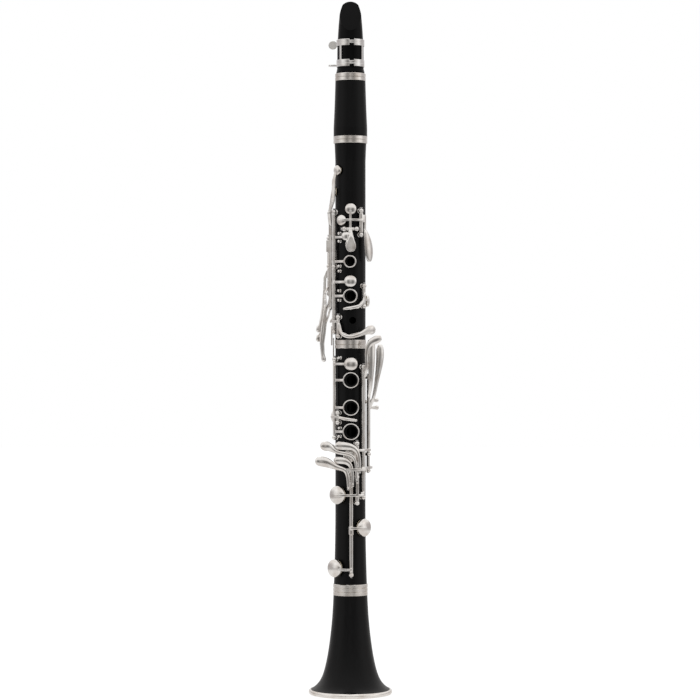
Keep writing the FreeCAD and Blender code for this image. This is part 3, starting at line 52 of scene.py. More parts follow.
# ---------------------------------------------------------------- camera
CAMERA_PLACE = (-0.0004, -2.4, 0.3274)
LENS = 129.5
SENSOR_WIDTH = 36
CLIP_START = 0.05
CLIP_END = 60

deselect_all()
bpy.ops.object.camera_add(location=CAMERA_PLACE, rotation=(math.radians(90), 0, 0))
camera = bpy.context.object
camera.name = "studio_camera"
camera.data.lens = LENS
camera.data.sensor_width = SENSOR_WIDTH
camera.data.clip_start = CLIP_START
camera.data.clip_end = CLIP_END
bpy.context.scene.camera = camera
bpy.context.scene.view_settings.view_transform = "Standard"


# ---------------------------------------------------------------- shading
class Shading:
    """A node tree that is filled one node at a time."""

    def __init__(self, tree):
        self.tree = tree

    def add(self, kind, **values):
        node = self.tree.nodes.new(kind)
        for key, value in values.items():
            setattr(node, key, value)
        return node

    def link(self, source, target):
        self.tree.links.new(source, target)

    def feed(self, source, target):
        """Sets a socket to a plain colour, or links it to another socket."""
        if isinstance(source, tuple):
            target.default_value = (*source, 1)
        else:
            self.link(source, target)

    def ramp(self, value, *stops):
        """A colour ramp through (position, colour) stops, given in their order."""
        node = self.add("ShaderNodeValToRGB")
        elements = node.color_ramp.elements
        for position, colour in stops[2:]:
            elements.new(position)
        for element, (position, colour) in zip(elements, stops):
            element.position = position
            element.color = (*colour, 1)
        self.link(value, node.inputs["Fac"])
        return node.outputs["Color"]

    def spread(self, value, low, high, from_low=0.3, from_high=0.7):
        """A value, by default that of a noise, brought between two others."""
        node = self.add("ShaderNodeMapRange")
        node.inputs["From Min"].default_value = from_low
        node.inputs["From Max"].default_value = from_high
        node.inputs["To Min"].default_value = low
        node.inputs["To Max"].default_value = high
        self.link(value, node.inputs["Value"])
        return node.outputs["Result"]

    def calculate(self, operation, first, second):
        node = self.add("ShaderNodeMath", operation=operation)
        self.link(first, node.inputs[0])
        self.link(second, node.inputs[1])
        return node.outputs["Value"]

    def mix_colours(self, factor, first, second):
        node = self.add("ShaderNodeMix", data_type="RGBA")
        self.link(factor, node.inputs[0])
        self.feed(first, node.inputs[6])
        self.feed(second, node.inputs[7])
        return node.outputs[2]

    def mix_shaders(self, factor, first, second):
        node = self.add("ShaderNodeMixShader")
        self.link(factor, node.inputs["Fac"])
        self.link(first, node.inputs[1])
        self.link(second, node.inputs[2])
        return node.outputs["Shader"]

    def glow(self, kind, colour):
        """What an emission or a background of one colour gives off."""
        node = self.add(kind)
        self.feed(colour, node.inputs["Color"])
        return node.outputs[0]

    def part_of(self, direction, axis):
        node = self.add("ShaderNodeSeparateXYZ")
        self.link(direction, node.inputs["Vector"])
        return node.outputs[axis]

    def room_tone(self, direction, stops):
        """The tone that lies in a direction from the object."""
        return self.ramp(self.spread(self.part_of(direction, "Y"), 0, 1, 1.0, -1.0), *stops)


# ---------------------------------------------------------------- materials
class Finish(Shading):
    """A material on Object coordinates."""

    NOISE_ROUGHNESS = 0.55

    def __init__(self, name, metallic=0.0, roughness=0.4, specular=0.5):
        self.material = bpy.data.materials.new(name)
        self.material.use_nodes = True
        super().__init__(self.material.node_tree)
        self.shader = self.tree.nodes["Principled BSDF"]
        self.shader.inputs["Metallic"].default_value = metallic
        self.shader.inputs["Roughness"].default_value = roughness
        self.shader.inputs["Specular IOR Level"].default_value = specular
        self.place = self.add("ShaderNodeTexCoord").outputs["Object"]

    def noise(self, scale, detail=3.0, stretch=(1, 1, 1)):
        """Noise over Object coordinates that are first scaled by three factors."""
        mapping = self.add("ShaderNodeMapping")
        mapping.inputs["Scale"].default_value = stretch
        self.link(self.place, mapping.inputs["Vector"])
        node = self.add("ShaderNodeTexNoise")
        node.inputs["Scale"].default_value = scale
        node.inputs["Detail"].default_value = detail
        node.inputs["Roughness"].default_value = self.NOISE_ROUGHNESS
        self.link(mapping.outputs["Vector"], node.inputs["Vector"])
        return node.outputs["Fac"]

    def cells(self, scale, feature="F1"):
        node = self.add("ShaderNodeTexVoronoi", feature=feature)
        node.inputs["Scale"].default_value = scale
        self.link(self.place, node.inputs["Vector"])
        return node.outputs["Distance"]

    def colour(self, source):
        self.link(source, self.shader.inputs["Base Color"])

    def roughness(self, source):
        self.link(source, self.shader.inputs["Roughness"])

    def bump(self, height, strength, depth, base=None):
        node = self.add("ShaderNodeBump")
        node.inputs["Strength"].default_value = strength
        node.inputs["Distance"].default_value = depth
        self.link(height, node.inputs["Height"])
        if base:
            self.link(base, node.inputs["Normal"])
        self.link(node.outputs["Normal"], self.shader.inputs["Normal"])
        return node.outputs["Normal"]


def make_black_body(name, roughness, grain):
    """Satin black turned body: faint lengthwise grain and an uneven sheen."""
    finish = Finish(name, roughness=roughness, specular=0.15)
    lengthwise = finish.noise(900, detail=4, stretch=(1, 1, 0.06))
    cloudy = finish.noise(28, stretch=(1, 1, 0.35))
    finish.colour(finish.ramp(lengthwise, (0.30, (0.0012, 0.0012, 0.0014)), (0.72, (0.0030, 0.0030, 0.0035))))
    sheen = finish.spread(cloudy, roughness - 0.05, roughness + 0.05)
    finish.roughness(finish.calculate("ADD", sheen, finish.spread(lengthwise, -0.04, 0.04)))
    first = finish.bump(lengthwise, grain, 0.00006)
    finish.bump(finish.noise(2600, detail=2), grain * 0.6, 0.00003, first)
    return finish.material


def make_polished_black(name):
    """Polished black mouthpiece: smoother, with hairline marks round it and dulled where it is handled."""
    finish = Finish(name, roughness=0.28, specular=0.08)
    hairlines = finish.noise(420, stretch=(0.15, 0.15, 4))
    handled = finish.noise(36)
    finish.colour(finish.ramp(handled, (0.32, (0.0012, 0.0012, 0.0014)), (0.70, (0.0028, 0.0028, 0.0032))))
    finish.roughness(finish.spread(handled, 0.22, 0.36))
    finish.bump(hairlines, 0.12, 0.00003)
    return finish.material


def make_plating(name, light, dark, roughness, swirl=120, hairline=0.03):
    """Bright plating: slight warm tarnish in patches, polishing hairlines and uneven gloss."""
    finish = Finish(name, metallic=1.0, roughness=roughness)
    tarnish = finish.noise(swirl, detail=4)
    buffed = finish.noise(1500, detail=2, stretch=(0.35, 1, 1))
    finish.colour(finish.ramp(tarnish, (0.34, dark), (0.56, light)))
    gloss = finish.spread(tarnish, roughness + 0.05, roughness - 0.03)
    finish.roughness(finish.calculate("ADD", gloss, finish.spread(buffed, -0.02, 0.03)))
    first = finish.bump(buffed, hairline, 0.00001)
    finish.bump(finish.noise(190, detail=1), hairline, 0.00006, first)
    return finish.material


def make_turned_steel(name):
    """Bare steel rods and screws: fine rings from the lathe."""
    finish = Finish(name, metallic=1.0, roughness=0.3)
    rings = finish.noise(2400, detail=2, stretch=(0.1, 0.1, 1))
    finish.colour(finish.ramp(rings, (0.35, (0.42, 0.42, 0.43)), (0.65, (0.62, 0.61, 0.60))))
    finish.roughness(finish.spread(rings, 0.24, 0.38))
    finish.bump(rings, 0.15, 0.00002)
    return finish.material


def make_pad_skin(name):
    """Thin pale skin over felt: fine wrinkles and a cream to tan mottle."""
    finish = Finish(name, roughness=0.55, specular=0.35)
    mottle = finish.noise(380, detail=4)
    wrinkle = finish.cells(900, "DISTANCE_TO_EDGE")
    finish.colour(finish.ramp(mottle, (0.3, (0.62, 0.50, 0.33)), (0.7, (0.80, 0.72, 0.56))))
    finish.roughness(finish.spread(mottle, 0.45, 0.65))
    first = finish.bump(wrinkle, 0.3, 0.00008)
    finish.bump(mottle, 0.25, 0.0001, first)
    return finish.material


def make_cork(name):
    """Cork sheet: light brown grain with darker pores, and greased."""
    finish = Finish(name, roughness=0.6, specular=0.4)
    cells = finish.cells(1100)
    pores = finish.noise(520, detail=5)
    tone = finish.ramp(
        pores, (0.36, (0.16, 0.07, 0.025)), (0.44, (0.50, 0.30, 0.14)), (0.7, (0.66, 0.44, 0.23))
    )
    finish.colour(tone)
    finish.roughness(finish.spread(pores, 0.7, 0.45))
    first = finish.bump(cells, 0.35, 0.0001)
    finish.bump(pores, 0.5, 0.0002, first)
    return finish.material


def make_cane(name):
    """Reed cane: straight fibres, pale, with browner streaks along them."""
    finish = Finish(name, roughness=0.5, specular=0.3)
    fibres = finish.noise(1300, detail=4, stretch=(1, 1, 0.03))
    streaks = finish.noise(240, stretch=(1, 1, 0.05))
    pale = finish.ramp(fibres, (0.3, (0.60, 0.42, 0.18)), (0.7, (0.80, 0.64, 0.36)))
    brown = finish.ramp(streaks, (0.55, (1, 1, 1)), (0.75, (0.72, 0.56, 0.38)))
    mix = finish.add("ShaderNodeMix", data_type="RGBA", blend_type="MULTIPLY")
    mix.inputs["Factor"].default_value = 0.8
    finish.link(pale, mix.inputs["A"])
    finish.link(brown, mix.inputs["B"])
    finish.colour(mix.outputs["Result"])
    finish.roughness(finish.spread(fibres, 0.42, 0.6))
    finish.bump(fibres, 0.3, 0.00006)
    return finish.material


finishes = {
    "body": make_black_body("satin_black_body", 0.36, 0.16),
    "mouthpiece": make_polished_black("polished_mouthpiece"),
    "key_plate": make_plating("bright_key_plating", (0.80, 0.785, 0.765), (0.66, 0.62, 0.585), 0.15),
    "silver_ring": make_plating("ring_plating", (0.78, 0.755, 0.725), (0.64, 0.595, 0.55), 0.2, 90, 0.08),
    "ligature": make_plating("ligature_plating", (0.80, 0.795, 0.785), (0.68, 0.66, 0.64), 0.17, 150),
    "steel": make_turned_steel("turned_steel"),
    "liner": make_plating("plated_liner", (0.74, 0.69, 0.55), (0.58, 0.50, 0.36), 0.25),
    "pad": make_pad_skin("pad_skin"),
    "cork": make_cork("tenon_cork"),
    "cane": make_cane("reed_cane"),
}

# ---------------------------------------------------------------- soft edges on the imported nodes
WELD_DISTANCE = 0.000005
BUFF_FACTOR = 0.5
# (voxel in metres, smoothing passes)
KEY_SKIN = (0.000255, 10)
LIGATURE_SKIN = (0.00023, 4)
KEY_WORK_ENDINGS = ("_key", "_lever", "_posts")

slot_of = {part["node"]: part["material_slot"] for part in frame["record"]["subparts"]}


def soften(piece, grain, passes):
    """Rounds every edge and inner corner a little, as on a cast and buffed key."""
    weld = piece.modifiers.new("weld", "WELD")
    weld.merge_threshold = WELD_DISTANCE
    remesh = piece.modifiers.new("skin", "REMESH")
    remesh.mode = "VOXEL"
    remesh.voxel_size = grain
    remesh.use_smooth_shade = True
    smooth = piece.modifiers.new("buff", "SMOOTH")
    smooth.factor = BUFF_FACTOR
    smooth.iterations = passes


for name, piece in nodes.items():
    piece.data.materials.clear()
    piece.data.materials.append(finishes[slot_of[name]])
    if name.endswith(KEY_WORK_ENDINGS) or name == "thumb_rest":
        soften(piece, *KEY_SKIN)
    elif name.startswith("ligature"):
        soften(piece, *LIGATURE_SKIN)

# ---------------------------------------------------------------- forged pieces
SLOT = "key_plate"
SECTION_SIDES = 12
ROUNDING_LEVELS = 2
# A section is dished when it is wider than this half width in millimetres, over this share of its radius.
DISHED_FROM = 2
DISH_SHARE = 0.7


def polar(reach, turn):
    """Where a point stands, by its distance from the bore and its angle from the front line, in millimetres."""
    angle = math.radians(turn)
    return reach * math.sin(angle), -reach * math.cos(angle)


def press_middle(section, depth):
    """Moves the front middle of a section in."""
    bpy.ops.object.mode_set(mode="EDIT")
    bpy.ops.mesh.select_all(action="DESELECT")
    mesh = bmesh.from_edit_mesh(section.data)
    for vertex in mesh.verts:
        vertex.select_set(vertex.co.y > DISH_SHARE * MM)
    bmesh.update_edit_mesh(section.data)
    bpy.ops.transform.translate(value=(0, depth, 0), orient_type="LOCAL")
    bpy.ops.object.mode_set(mode="OBJECT")


def forge(name, body, stations, facing=None, sides=SECTION_SIDES, dish=0.0):
    """A smooth arm or knob: oval sections from end to end, skinned, closed and rounded.

    A station is (x, y, z, half width, half thickness) in millimetres. The thickness lies along the facing
    direction, or straight out from the bore where no direction is given. A dish presses the middle of the wide
    sections in by that share of their half width.
    """
    places = [Vector(station[:3]) * MM for station in stations]
    last = len(places) - 1
    sections = []
    for index, (x, y, z, half, thick) in enumerate(stations):
        along = (places[min(index + 1, last)] - places[max(index - 1, 0)]).normalized()
        out = Vector(facing) if facing else Vector((x, y, 0))
        out = (out - along * out.dot(along)).normalized()
        turn = Matrix((out.cross(along), out, along)).transposed().to_euler()
        deselect_all()
        bpy.ops.mesh.primitive_circle_add(vertices=sides, radius=MM, location=places[index], rotation=turn)
        section = bpy.context.object
        if dish and half > DISHED_FROM:
            press_middle(section, -dish * half / thick * MM)
        section.scale = (half, thick, 1)
        sections.append(section)
    deselect_all()
    for section in sections:
        section.select_set(True)
    piece = sections[0]
    bpy.context.view_layer.objects.active = piece
    bpy.ops.object.join()
    bpy.ops.object.transform_apply(location=True, rotation=True, scale=True)
    bpy.ops.object.mode_set(mode="EDIT")
    bpy.ops.mesh.select_all(action="SELECT")
    bpy.ops.mesh.bridge_edge_loops(type="SINGLE")
    bpy.ops.mesh.select_all(action="SELECT")
    bpy.ops.mesh.fill_holes(sides=0)
    bpy.ops.mesh.select_all(action="SELECT")
    bpy.ops.mesh.normals_make_consistent(inside=False)
    bpy.ops.object.mode_set(mode="OBJECT")
    piece.name = name
    skin = piece.modifiers.new("rounding", "SUBSURF")
    skin.levels = ROUNDING_LEVELS
    skin.render_levels = ROUNDING_LEVELS
    bpy.ops.object.modifier_apply(modifier=skin.name)
    bpy.ops.object.shade_smooth()
    piece.data.materials.append(finishes[SLOT])
    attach(piece, body)


# ---------------------------------------------------------------- right-hand touches
# The keys that stand open are swung forward about their hinge tubes: the two inner keys share one tube.
OPEN_SWING = Matrix.Rotation(math.radians(6), 3, "Z")
INNER_AXLE = Vector((6.234, -16.673, 0))
CENTRE_AXLE = Vector((0.763, -17.483, 0))

# The layer of the touches: an arm of this half width lies at this depth, and wider ones stand further forward.
TOUCH_DEPTH = -21.9
NARROW_HALF = 1.4
FORWARD_SHARE = 0.35
TOUCH_THICKNESS = 0.45
TOUCH_THICKNESS_SHARE = 0.38


def opened(place, axle):
    """A place on a key, swung open where the key has an axle."""
    return place if axle is None else axle + OPEN_SWING @ (place - axle)


def opened_direction(direction, axle):
    return direction if axle is None else OPEN_SWING @ direction


def front_arm(name, body, *stations, axle=None):
    """An arm in the layer of the right-hand touches: stations are (x, z, half width)."""
    points = []
    for x, z, half in stations:
        place = opened(Vector((x, TOUCH_DEPTH - FORWARD_SHARE * (half - NARROW_HALF), z)), axle)
        points.append((*place, half, min(TOUCH_THICKNESS + TOUCH_THICKNESS_SHARE * half, half)))
    forge(name, body, points, opened_direction(Vector(FRONT), axle))


front_arm(
    "fsharp_csharp_touch", "fsharp_csharp_key",
    (-15.3, 237.0, 1.7), (-14.5, 237.0, 2.7), (-12.9, 237.0, 3.6), (-10.4, 237.0, 4.1), (-7.0, 236.8, 4.1),
    (-3.2, 236.4, 3.8), (0.2, 235.7, 3.3), (3.6, 234.0, 2.6), (6.4, 230.6, 2.0), (7.8, 225.5, 1.6),
    (8.3, 219.0, 1.3), (8.4, 211.8, 1.2),
    axle=INNER_AXLE,
)
front_arm(
    "f_c_touch", "f_c_key",
    (-28.9, 236.7, 2.0), (-28.1, 236.8, 3.2), (-26.2, 236.9, 4.4), (-23.4, 236.8, 4.9), (-20.8, 235.9, 4.3),
    (-18.3, 234.0, 2.8), (-15.4, 232.0, 2.0), (-12.0, 230.7, 1.9), (-7.5, 229.9, 1.9), (-2.0, 228.9, 1.9),
    (2.2, 226.6, 1.7), (4.4, 222.4, 1.5), (4.9, 216.0, 1.3), (5.1, 209.0, 1.25), (5.8, 202.9, 1.2),
    axle=INNER_AXLE,
)
front_arm(
    "ab_eb_touch", "ab_eb_key",
    (-15.2, 222.9, 1.7), (-14.2, 222.9, 2.7), (-12.0, 223.1, 3.6), (-8.6, 223.2, 3.8), (-5.0, 222.5, 3.4),
    (-1.8, 220.7, 2.7), (0.4, 217.8, 2.0), (1.7, 213.6, 1.6), (2.2, 207.5, 1.4), (2.3, 198.8, 1.3),
)
front_arm(
    "e_b_touch", "e_b_key",
    (-33.7, 222.6, 2.0), (-32.9, 222.6, 3.4), (-30.9, 222.6, 4.7), (-27.4, 222.4, 5.2), (-22.8, 221.2, 4.8),
    (-19.0, 219.2, 3.8), (-15.4, 217.3, 2.8), (-11.2, 215.9, 2.3), (-6.4, 214.6, 2.1), (-3.8, 211.6, 1.9),
    (-2.7, 206.5, 1.7), (-2.4, 201.0, 1.5), (-2.4, 195.6, 1.35),
    axle=CENTRE_AXLE,
)

# ---------------------------------------------------------------- touches, slivers and spoons round the body
SIDE_THICKNESS = 1.2
SIDE_THICKNESS_SHARE = 0.15
THUMB_SIDE_FACING = (0.64, -0.77, 0)
LEVER_FACING = (0.3, -1, 0)


def side_arm(name, body, *stations, facing=None, thick=SIDE_THICKNESS, dish=0.0):
    """An arm round the body: stations are (reach, turn, z, half width)."""
    points = [
        (*polar(reach, turn), z, half, min(thick + SIDE_THICKNESS_SHARE * (half - 1), half))
        for reach, turn, z, half in stations
    ]
    forge(name, body, points, facing, dish=dish)


side_arm(
    "throat_a_touch", "throat_a_key",
    (18.7, 1.0, 441.6, 1.3), (19.6, 1.2, 438.2, 1.5), (20.5, 1.4, 435.0, 2.0), (21.0, 1.5, 432.0, 3.0),
    (21.2, 1.6, 429.0, 4.2), (21.3, 1.6, 426.0, 5.0), (21.2, 1.6, 423.4, 4.7), (21.1, 1.6, 421.4, 3.5),
    (21.0, 1.6, 420.3, 2.0),
    facing=FRONT, thick=1.05, dish=0.2,
)
side_arm(
    "throat_gsharp_touch", "throat_gsharp_key",
    (19.2, 46.5, 441.6, 1.6), (19.7, 49.0, 438.0, 2.6), (20.4, 52.0, 433.0, 4.0), (20.9, 54.5, 427.0, 5.0),
    (21.1, 56.5, 421.0, 5.1), (21.2, 57.5, 416.0, 4.4), (21.1, 58.0, 412.4, 3.0), (21.0, 58.0, 411.0, 1.6),
    facing=THUMB_SIDE_FACING,
)
forge(
    "csharp_gsharp_touch", "csharp_gsharp_key",
    [
        (-11.2, -14.7, 354.0, 1.4, 1.2), (-11.1, -14.8, 349.4, 1.5, 1.2), (-10.3, -15.3, 345.6, 1.6, 1.2),
        (-8.0, -16.6, 342.4, 1.65, 1.3), (-4.5, -17.9, 340.4, 1.7, 1.3), (0.0, -18.5, 339.8, 1.8, 1.3),
        (5.0, -18.0, 340.8, 1.9, 1.3), (9.5, -16.7, 342.4, 2.1, 1.3), (13.2, -15.0, 344.2, 2.7, 1.4),
        (16.2, -13.4, 345.6, 3.8, 1.6), (18.6, -11.9, 346.6, 4.5, 1.8), (20.6, -10.6, 347.0, 4.2, 1.7),
        (22.0, -9.6, 347.3, 3.0, 1.4), (22.6, -9.2, 347.4, 1.8, 1.0),
    ],
)
side_arm(
    "left_sliver_touch", "left_sliver_key",
    (18.9, 46.5, 382.5, 1.5), (18.8, 45.5, 377.5, 1.6), (18.5, 42.0, 373.4, 1.65), (18.2, 34.5, 370.4, 1.7),
    (17.9, 24.0, 368.7, 1.7), (17.7, 10.0, 367.7, 1.7), (17.7, -5.0, 367.0, 1.7), (17.7, -15.0, 366.6, 1.5),
    (17.7, -21.0, 366.4, 0.9),
)
side_arm(
    "lower_sliver_touch", "b_fsharp_key",
    (17.9, -41.0, 263.7, 1.4), (17.8, -30.0, 263.0, 1.6), (17.7, -16.0, 262.2, 1.65), (17.7, -2.0, 261.5, 1.65),
    (17.7, 10.0, 261.1, 1.6), (17.7, 16.0, 260.9, 1.3), (17.7, 19.0, 260.8, 0.8),
)
forge(
    "left_f_c_spoon", "left_f_c_lever",
    [
        (14.2, -14.4, 304.0, 1.5, 1.2), (15.4, -16.0, 310.0, 1.6, 1.2), (15.3, -16.9, 317.0, 1.6, 1.2),
        (15.2, -17.2, 323.5, 1.8, 1.2), (15.9, -17.2, 328.6, 2.1, 1.3), (17.4, -17.0, 332.2, 2.8, 1.5),
        (19.8, -16.8, 334.8, 3.6, 1.8), (22.8, -16.4, 336.5, 4.0, 1.9), (25.8, -15.9, 337.8, 3.9, 1.9),
        (28.2, -15.4, 338.6, 3.1, 1.6), (29.4, -15.1, 338.9, 2.0, 1.2),
    ],
    LEVER_FACING,
)
forge(
    "left_fsharp_csharp_spoon", "left_fsharp_csharp_lever",
    [
        (17.9, -7.3, 284.0, 1.5, 1.2), (18.9, -9.6, 291.0, 1.7, 1.3), (19.4, -11.0, 298.0, 2.1, 1.4),
        (19.7, -11.9, 306.0, 2.8, 1.6), (19.8, -12.3, 314.0, 3.5, 1.8), (19.8, -12.4, 321.0, 3.9, 1.9),
        (19.9, -12.3, 328.0, 4.0, 1.9), (20.0, -12.1, 333.4, 3.6, 1.8), (20.1, -12.0, 336.8, 2.6, 1.4),
        (20.1, -12.0, 338.0, 1.6, 1.0),
    ],
    LEVER_FACING,
)
forge(
    "left_e_b_spoon", "left_e_b_lever",
    [
        (19.2, 2.7, 274.0, 1.6, 1.2), (21.8, 0.5, 281.0, 1.6, 1.2), (23.4, -0.5, 288.0, 1.7, 1.2),
        (24.8, -1.1, 296.0, 1.9, 1.3), (26.1, -1.7, 304.0, 2.6, 1.5), (27.4, -2.0, 312.0, 3.4, 1.7),
        (28.2, -2.2, 319.0, 3.9, 1.9), (28.4, -2.2, 325.0, 3.9, 1.9), (28.4, -2.2, 330.0, 3.2, 1.7),
        (28.3, -2.2, 333.0, 2.0, 1.2),
    ],
    LEVER_FACING,
)
side_arm(
    "register_touch", "register_key",
    (18.5, 180.0, 449.6, 1.7), (19.2, 180.0, 444.0, 2.8), (19.5, 180.0, 438.8, 4.4), (19.4, 180.0, 434.0, 4.5),
    (19.0, 180.0, 430.6, 3.6), (18.7, 180.0, 428.2, 1.6),
)

# ---------------------------------------------------------------- side keys
BUTTON_LEVELS = (-1.0, -0.82, -0.35, 0.35, 0.82, 1.0)
BUTTON_RADIUS = 3.4
BUTTON_THICKNESS = 1.5
BUTTON_END_SHARE = 0.3
BUTTON_FACING = (-0.9, 0.5, 0)


def button(name, body, x, y, z):
    """A round, slightly domed button."""
    points = []
    for level in BUTTON_LEVELS:
        half = max(BUTTON_END_SHARE, math.sqrt(1.02 - level * level)) * BUTTON_RADIUS
        points.append((x, y, z + level * BUTTON_RADIUS, half, BUTTON_THICKNESS))
    forge(name, body, points, BUTTON_FACING)


button("side_1_button", "side_1_key", -30.6, 8.8, 338.6)
button("side_2_button", "side_2_key", -30.6, 9.2, 347.6)
forge(
    "side_3_touch", "side_3_key",
    [
        (-24.0, -2.2, 372.0, 1.0, 0.9), (-24.3, -3.0, 362.0, 1.7, 1.0), (-25.0, -3.6, 352.0, 2.6, 1.1),
        (-26.2, -3.8, 343.0, 2.7, 1.1), (-26.9, -3.8, 335.0, 2.2, 1.1), (-26.8, -3.6, 328.0, 1.8, 1.1),
        (-26.3, -3.3, 323.0, 1.7, 1.2), (-25.6, -3.1, 319.6, 2.3, 2.0), (-25.2, -3.0, 317.4, 2.3, 2.0),
        (-25.1, -3.0, 316.0, 1.0, 1.0),
    ],
    FRONT,
)
forge(
    "side_4_touch", "side_4_key",
    [
        (-24.8, 2.2, 382.0, 1.2, 1.0), (-25.2, 1.6, 373.0, 1.7, 1.0), (-25.8, 1.0, 364.0, 2.1, 1.1),
        (-27.0, 0.5, 356.0, 2.4, 1.1), (-28.2, 0.2, 350.0, 2.3, 1.1), (-28.7, 0.2, 345.8, 1.9, 1.1),
        (-28.9, 0.2, 343.6, 0.9, 0.8),
    ],
    FRONT,
)

# ---------------------------------------------------------------- small turned studs
# (height over the foot, radius) up a stud: foot flange, neck and ball.
STUD = ((0.0, 1.7), (0.45, 1.7), (0.6, 0.9), (1.4, 0.85), (1.8, 1.3), (2.5, 1.55), (3.2, 1.3), (3.6, 0.6))
STUD_SINK = 0.1
# joint: radius of its wood, and the (turn, level) of each stud on it.
STUDS = {
    "upper": (14.4, ((-41, 437.9), (-41, 430.5), (-41, 407.0), (-41, 402.2), (-42, 383.6), (-42, 374.6))),
    "lower": (14.35, ((-40, 320.0), (-40, 253.4), (-40, 245.6))),
}

for joint, (wood, studs) in STUDS.items():
    for number, (turn, z) in enumerate(studs, 1):
        points = [(*polar(wood - STUD_SINK + height, turn), z, radius, radius) for height, radius in STUD]
        forge("%s_stud_%d" % (joint, number), joint + "_joint", points, UPWARD)

# ---------------------------------------------------------------- polished domes on the key cups
# (height, radius) up a dome, as shares of its height and radius.
DOME = ((-0.14, 1.0), (0.0, 1.03), (0.2, 1.01), (0.44, 0.92), (0.67, 0.76), (0.85, 0.54), (0.96, 0.3), (1.0, 0.1))
DOME_SIDES = 24
FLAT_DOME = 1.6
SIDE_DOME = 2.0
FRONT_DOME = 2.3
LARGE_DOME = 3.0
# name of the key, turn, level, distance of the rim from the bore, radius, height, hinge of a key that stands open.
CUPS = (
    ("throat_a", 1, 461.0, 16.5, 5.3, FRONT_DOME, None),
    ("throat_gsharp", -31, 450.5, 16.5, 5.0, FRONT_DOME, None),
    ("first_ring", -14, 435.4, 17.0, 4.2, FLAT_DOME, None),
    ("second_ring", 1, 392.6, 17.9, 5.4, FRONT_DOME, None),
    ("side_1", -50, 498.0, 16.5, 4.6, SIDE_DOME, None),
    ("side_2", -76, 478.0, 16.5, 4.4, SIDE_DOME, None),
    ("left_sliver", 95, 374.0, 16.5, 5.4, SIDE_DOME, None),
    ("lower_ring", 3, 314.2, 17.8, 6.0, FRONT_DOME, None),
    ("b_fsharp", -91, 264.0, 16.4, 5.2, SIDE_DOME, None),
    ("ab_eb", 45, 159.0, 18.9, 8.3, LARGE_DOME, None),
    ("f_c", -42, 190.0, 18.7, 8.5, LARGE_DOME, INNER_AXLE),
    ("e_b", -50, 120.5, 19.5, 8.4, LARGE_DOME, CENTRE_AXLE),
)

for key, turn, z, rim, radius, height, axle in CUPS:
    normal = opened_direction(Vector((*polar(1, turn), 0)), axle)
    foot = opened(Vector((*polar(rim, turn), z)), axle)
    points = [(*(foot + normal * height * up), radius * wide, radius * wide) for up, wide in DOME]
    forge(key + "_dome", key + "_key", points, UPWARD, sides=DOME_SIDES)

# ---------------------------------------------------------------- two short arms with round ends
# One is on the post at the top of the E / B lever's rod, the other on the lever.
forge(
    "lower_post_arm", "lower_joint",
    [
        (15.6, 6.6, 279.2, 1.6, 1.6), (19.0, 6.9, 279.3, 1.5, 1.5), (23.2, 7.0, 279.4, 1.6, 1.6),
        (24.6, 7.0, 279.4, 2.1, 1.8), (26.0, 7.0, 279.4, 2.1, 1.8), (26.9, 7.0, 279.4, 1.2, 1.1),
    ],
    FRONT,
)
forge(
    "left_e_b_arm", "left_e_b_lever",
    [
        (17.6, 6.6, 272.4, 1.6, 1.6), (20.0, 6.9, 272.4, 1.5, 1.5), (23.4, 7.0, 272.3, 1.6, 1.6),
        (24.8, 7.0, 272.3, 2.1, 1.8), (26.2, 7.0, 272.3, 2.1, 1.8), (27.1, 7.0, 272.3, 1.2, 1.1),
    ],
    FRONT,
)

# ---------------------------------------------------------------- studio
# The tones of the room and of the floor in a mirror, from straight behind the object (0) through its sides
# (0.5) to straight behind the camera (1). The world gives them off; the floor glows with them as a painted
# reflection.
STUDIO_WALLS = (
    (0.0, (0.80, 0.775, 0.77)),
    (0.18, (0.56, 0.53, 0.53)),
    (0.42, (0.54, 0.515, 0.51)),
    (0.60, (0.70, 0.68, 0.665)),
    (0.78, (0.88, 0.86, 0.835)),
    (0.86, (0.66, 0.64, 0.62)),
    (0.91, (0.42, 0.405, 0.39)),
    (0.945, (0.20, 0.19, 0.18)),
    (0.983, (0.26, 0.25, 0.24)),
    (0.996, (0.50, 0.48, 0.46)),
    (1.0, (0.62, 0.60, 0.575)),
)
FLOOR_TONES = (
    (0.0, (0.74, 0.72, 0.71)),
    (0.25, (0.52, 0.50, 0.49)),
    (0.50, (0.50, 0.48, 0.475)),
    (0.74, (0.62, 0.60, 0.59)),
    (0.86, (0.50, 0.485, 0.475)),
    (0.91, (0.34, 0.33, 0.32)),
    (0.945, (0.17, 0.165, 0.16)),
    (0.983, (0.20, 0.195, 0.19)),
    (1.0, (0.34, 0.33, 0.32)),
)
# Painted reflection: the pale tone the floor glows with in metal near the object.
NEAR_FLOOR_PAINTED_REFLECTION = (0.90, 0.88, 0.86)
CEILING_TONE = (1.0, 0.98, 0.96)
PLAIN_TONE = (0.9, 0.9, 0.9)
WHITE = (1, 1, 1)
FLOOR_GLOW = 0.8
# Where the near floor's painted reflection fades into the far floor's, in metres from the object.
FLOOR_FADE = (0.55, 0.95)
# The rise of a direction over which the floor's tones turn into the walls', and the walls' into the ceiling's.
HORIZON = (-0.03, 0.0)
CORNICE = (0.14, 0.36)
FLOOR_SIZE = 12.0

deselect_all()
bpy.ops.mesh.primitive_plane_add(size=FLOOR_SIZE, location=(0, 0, 0))
floor = bpy.context.object
floor.name = "studio_floor"


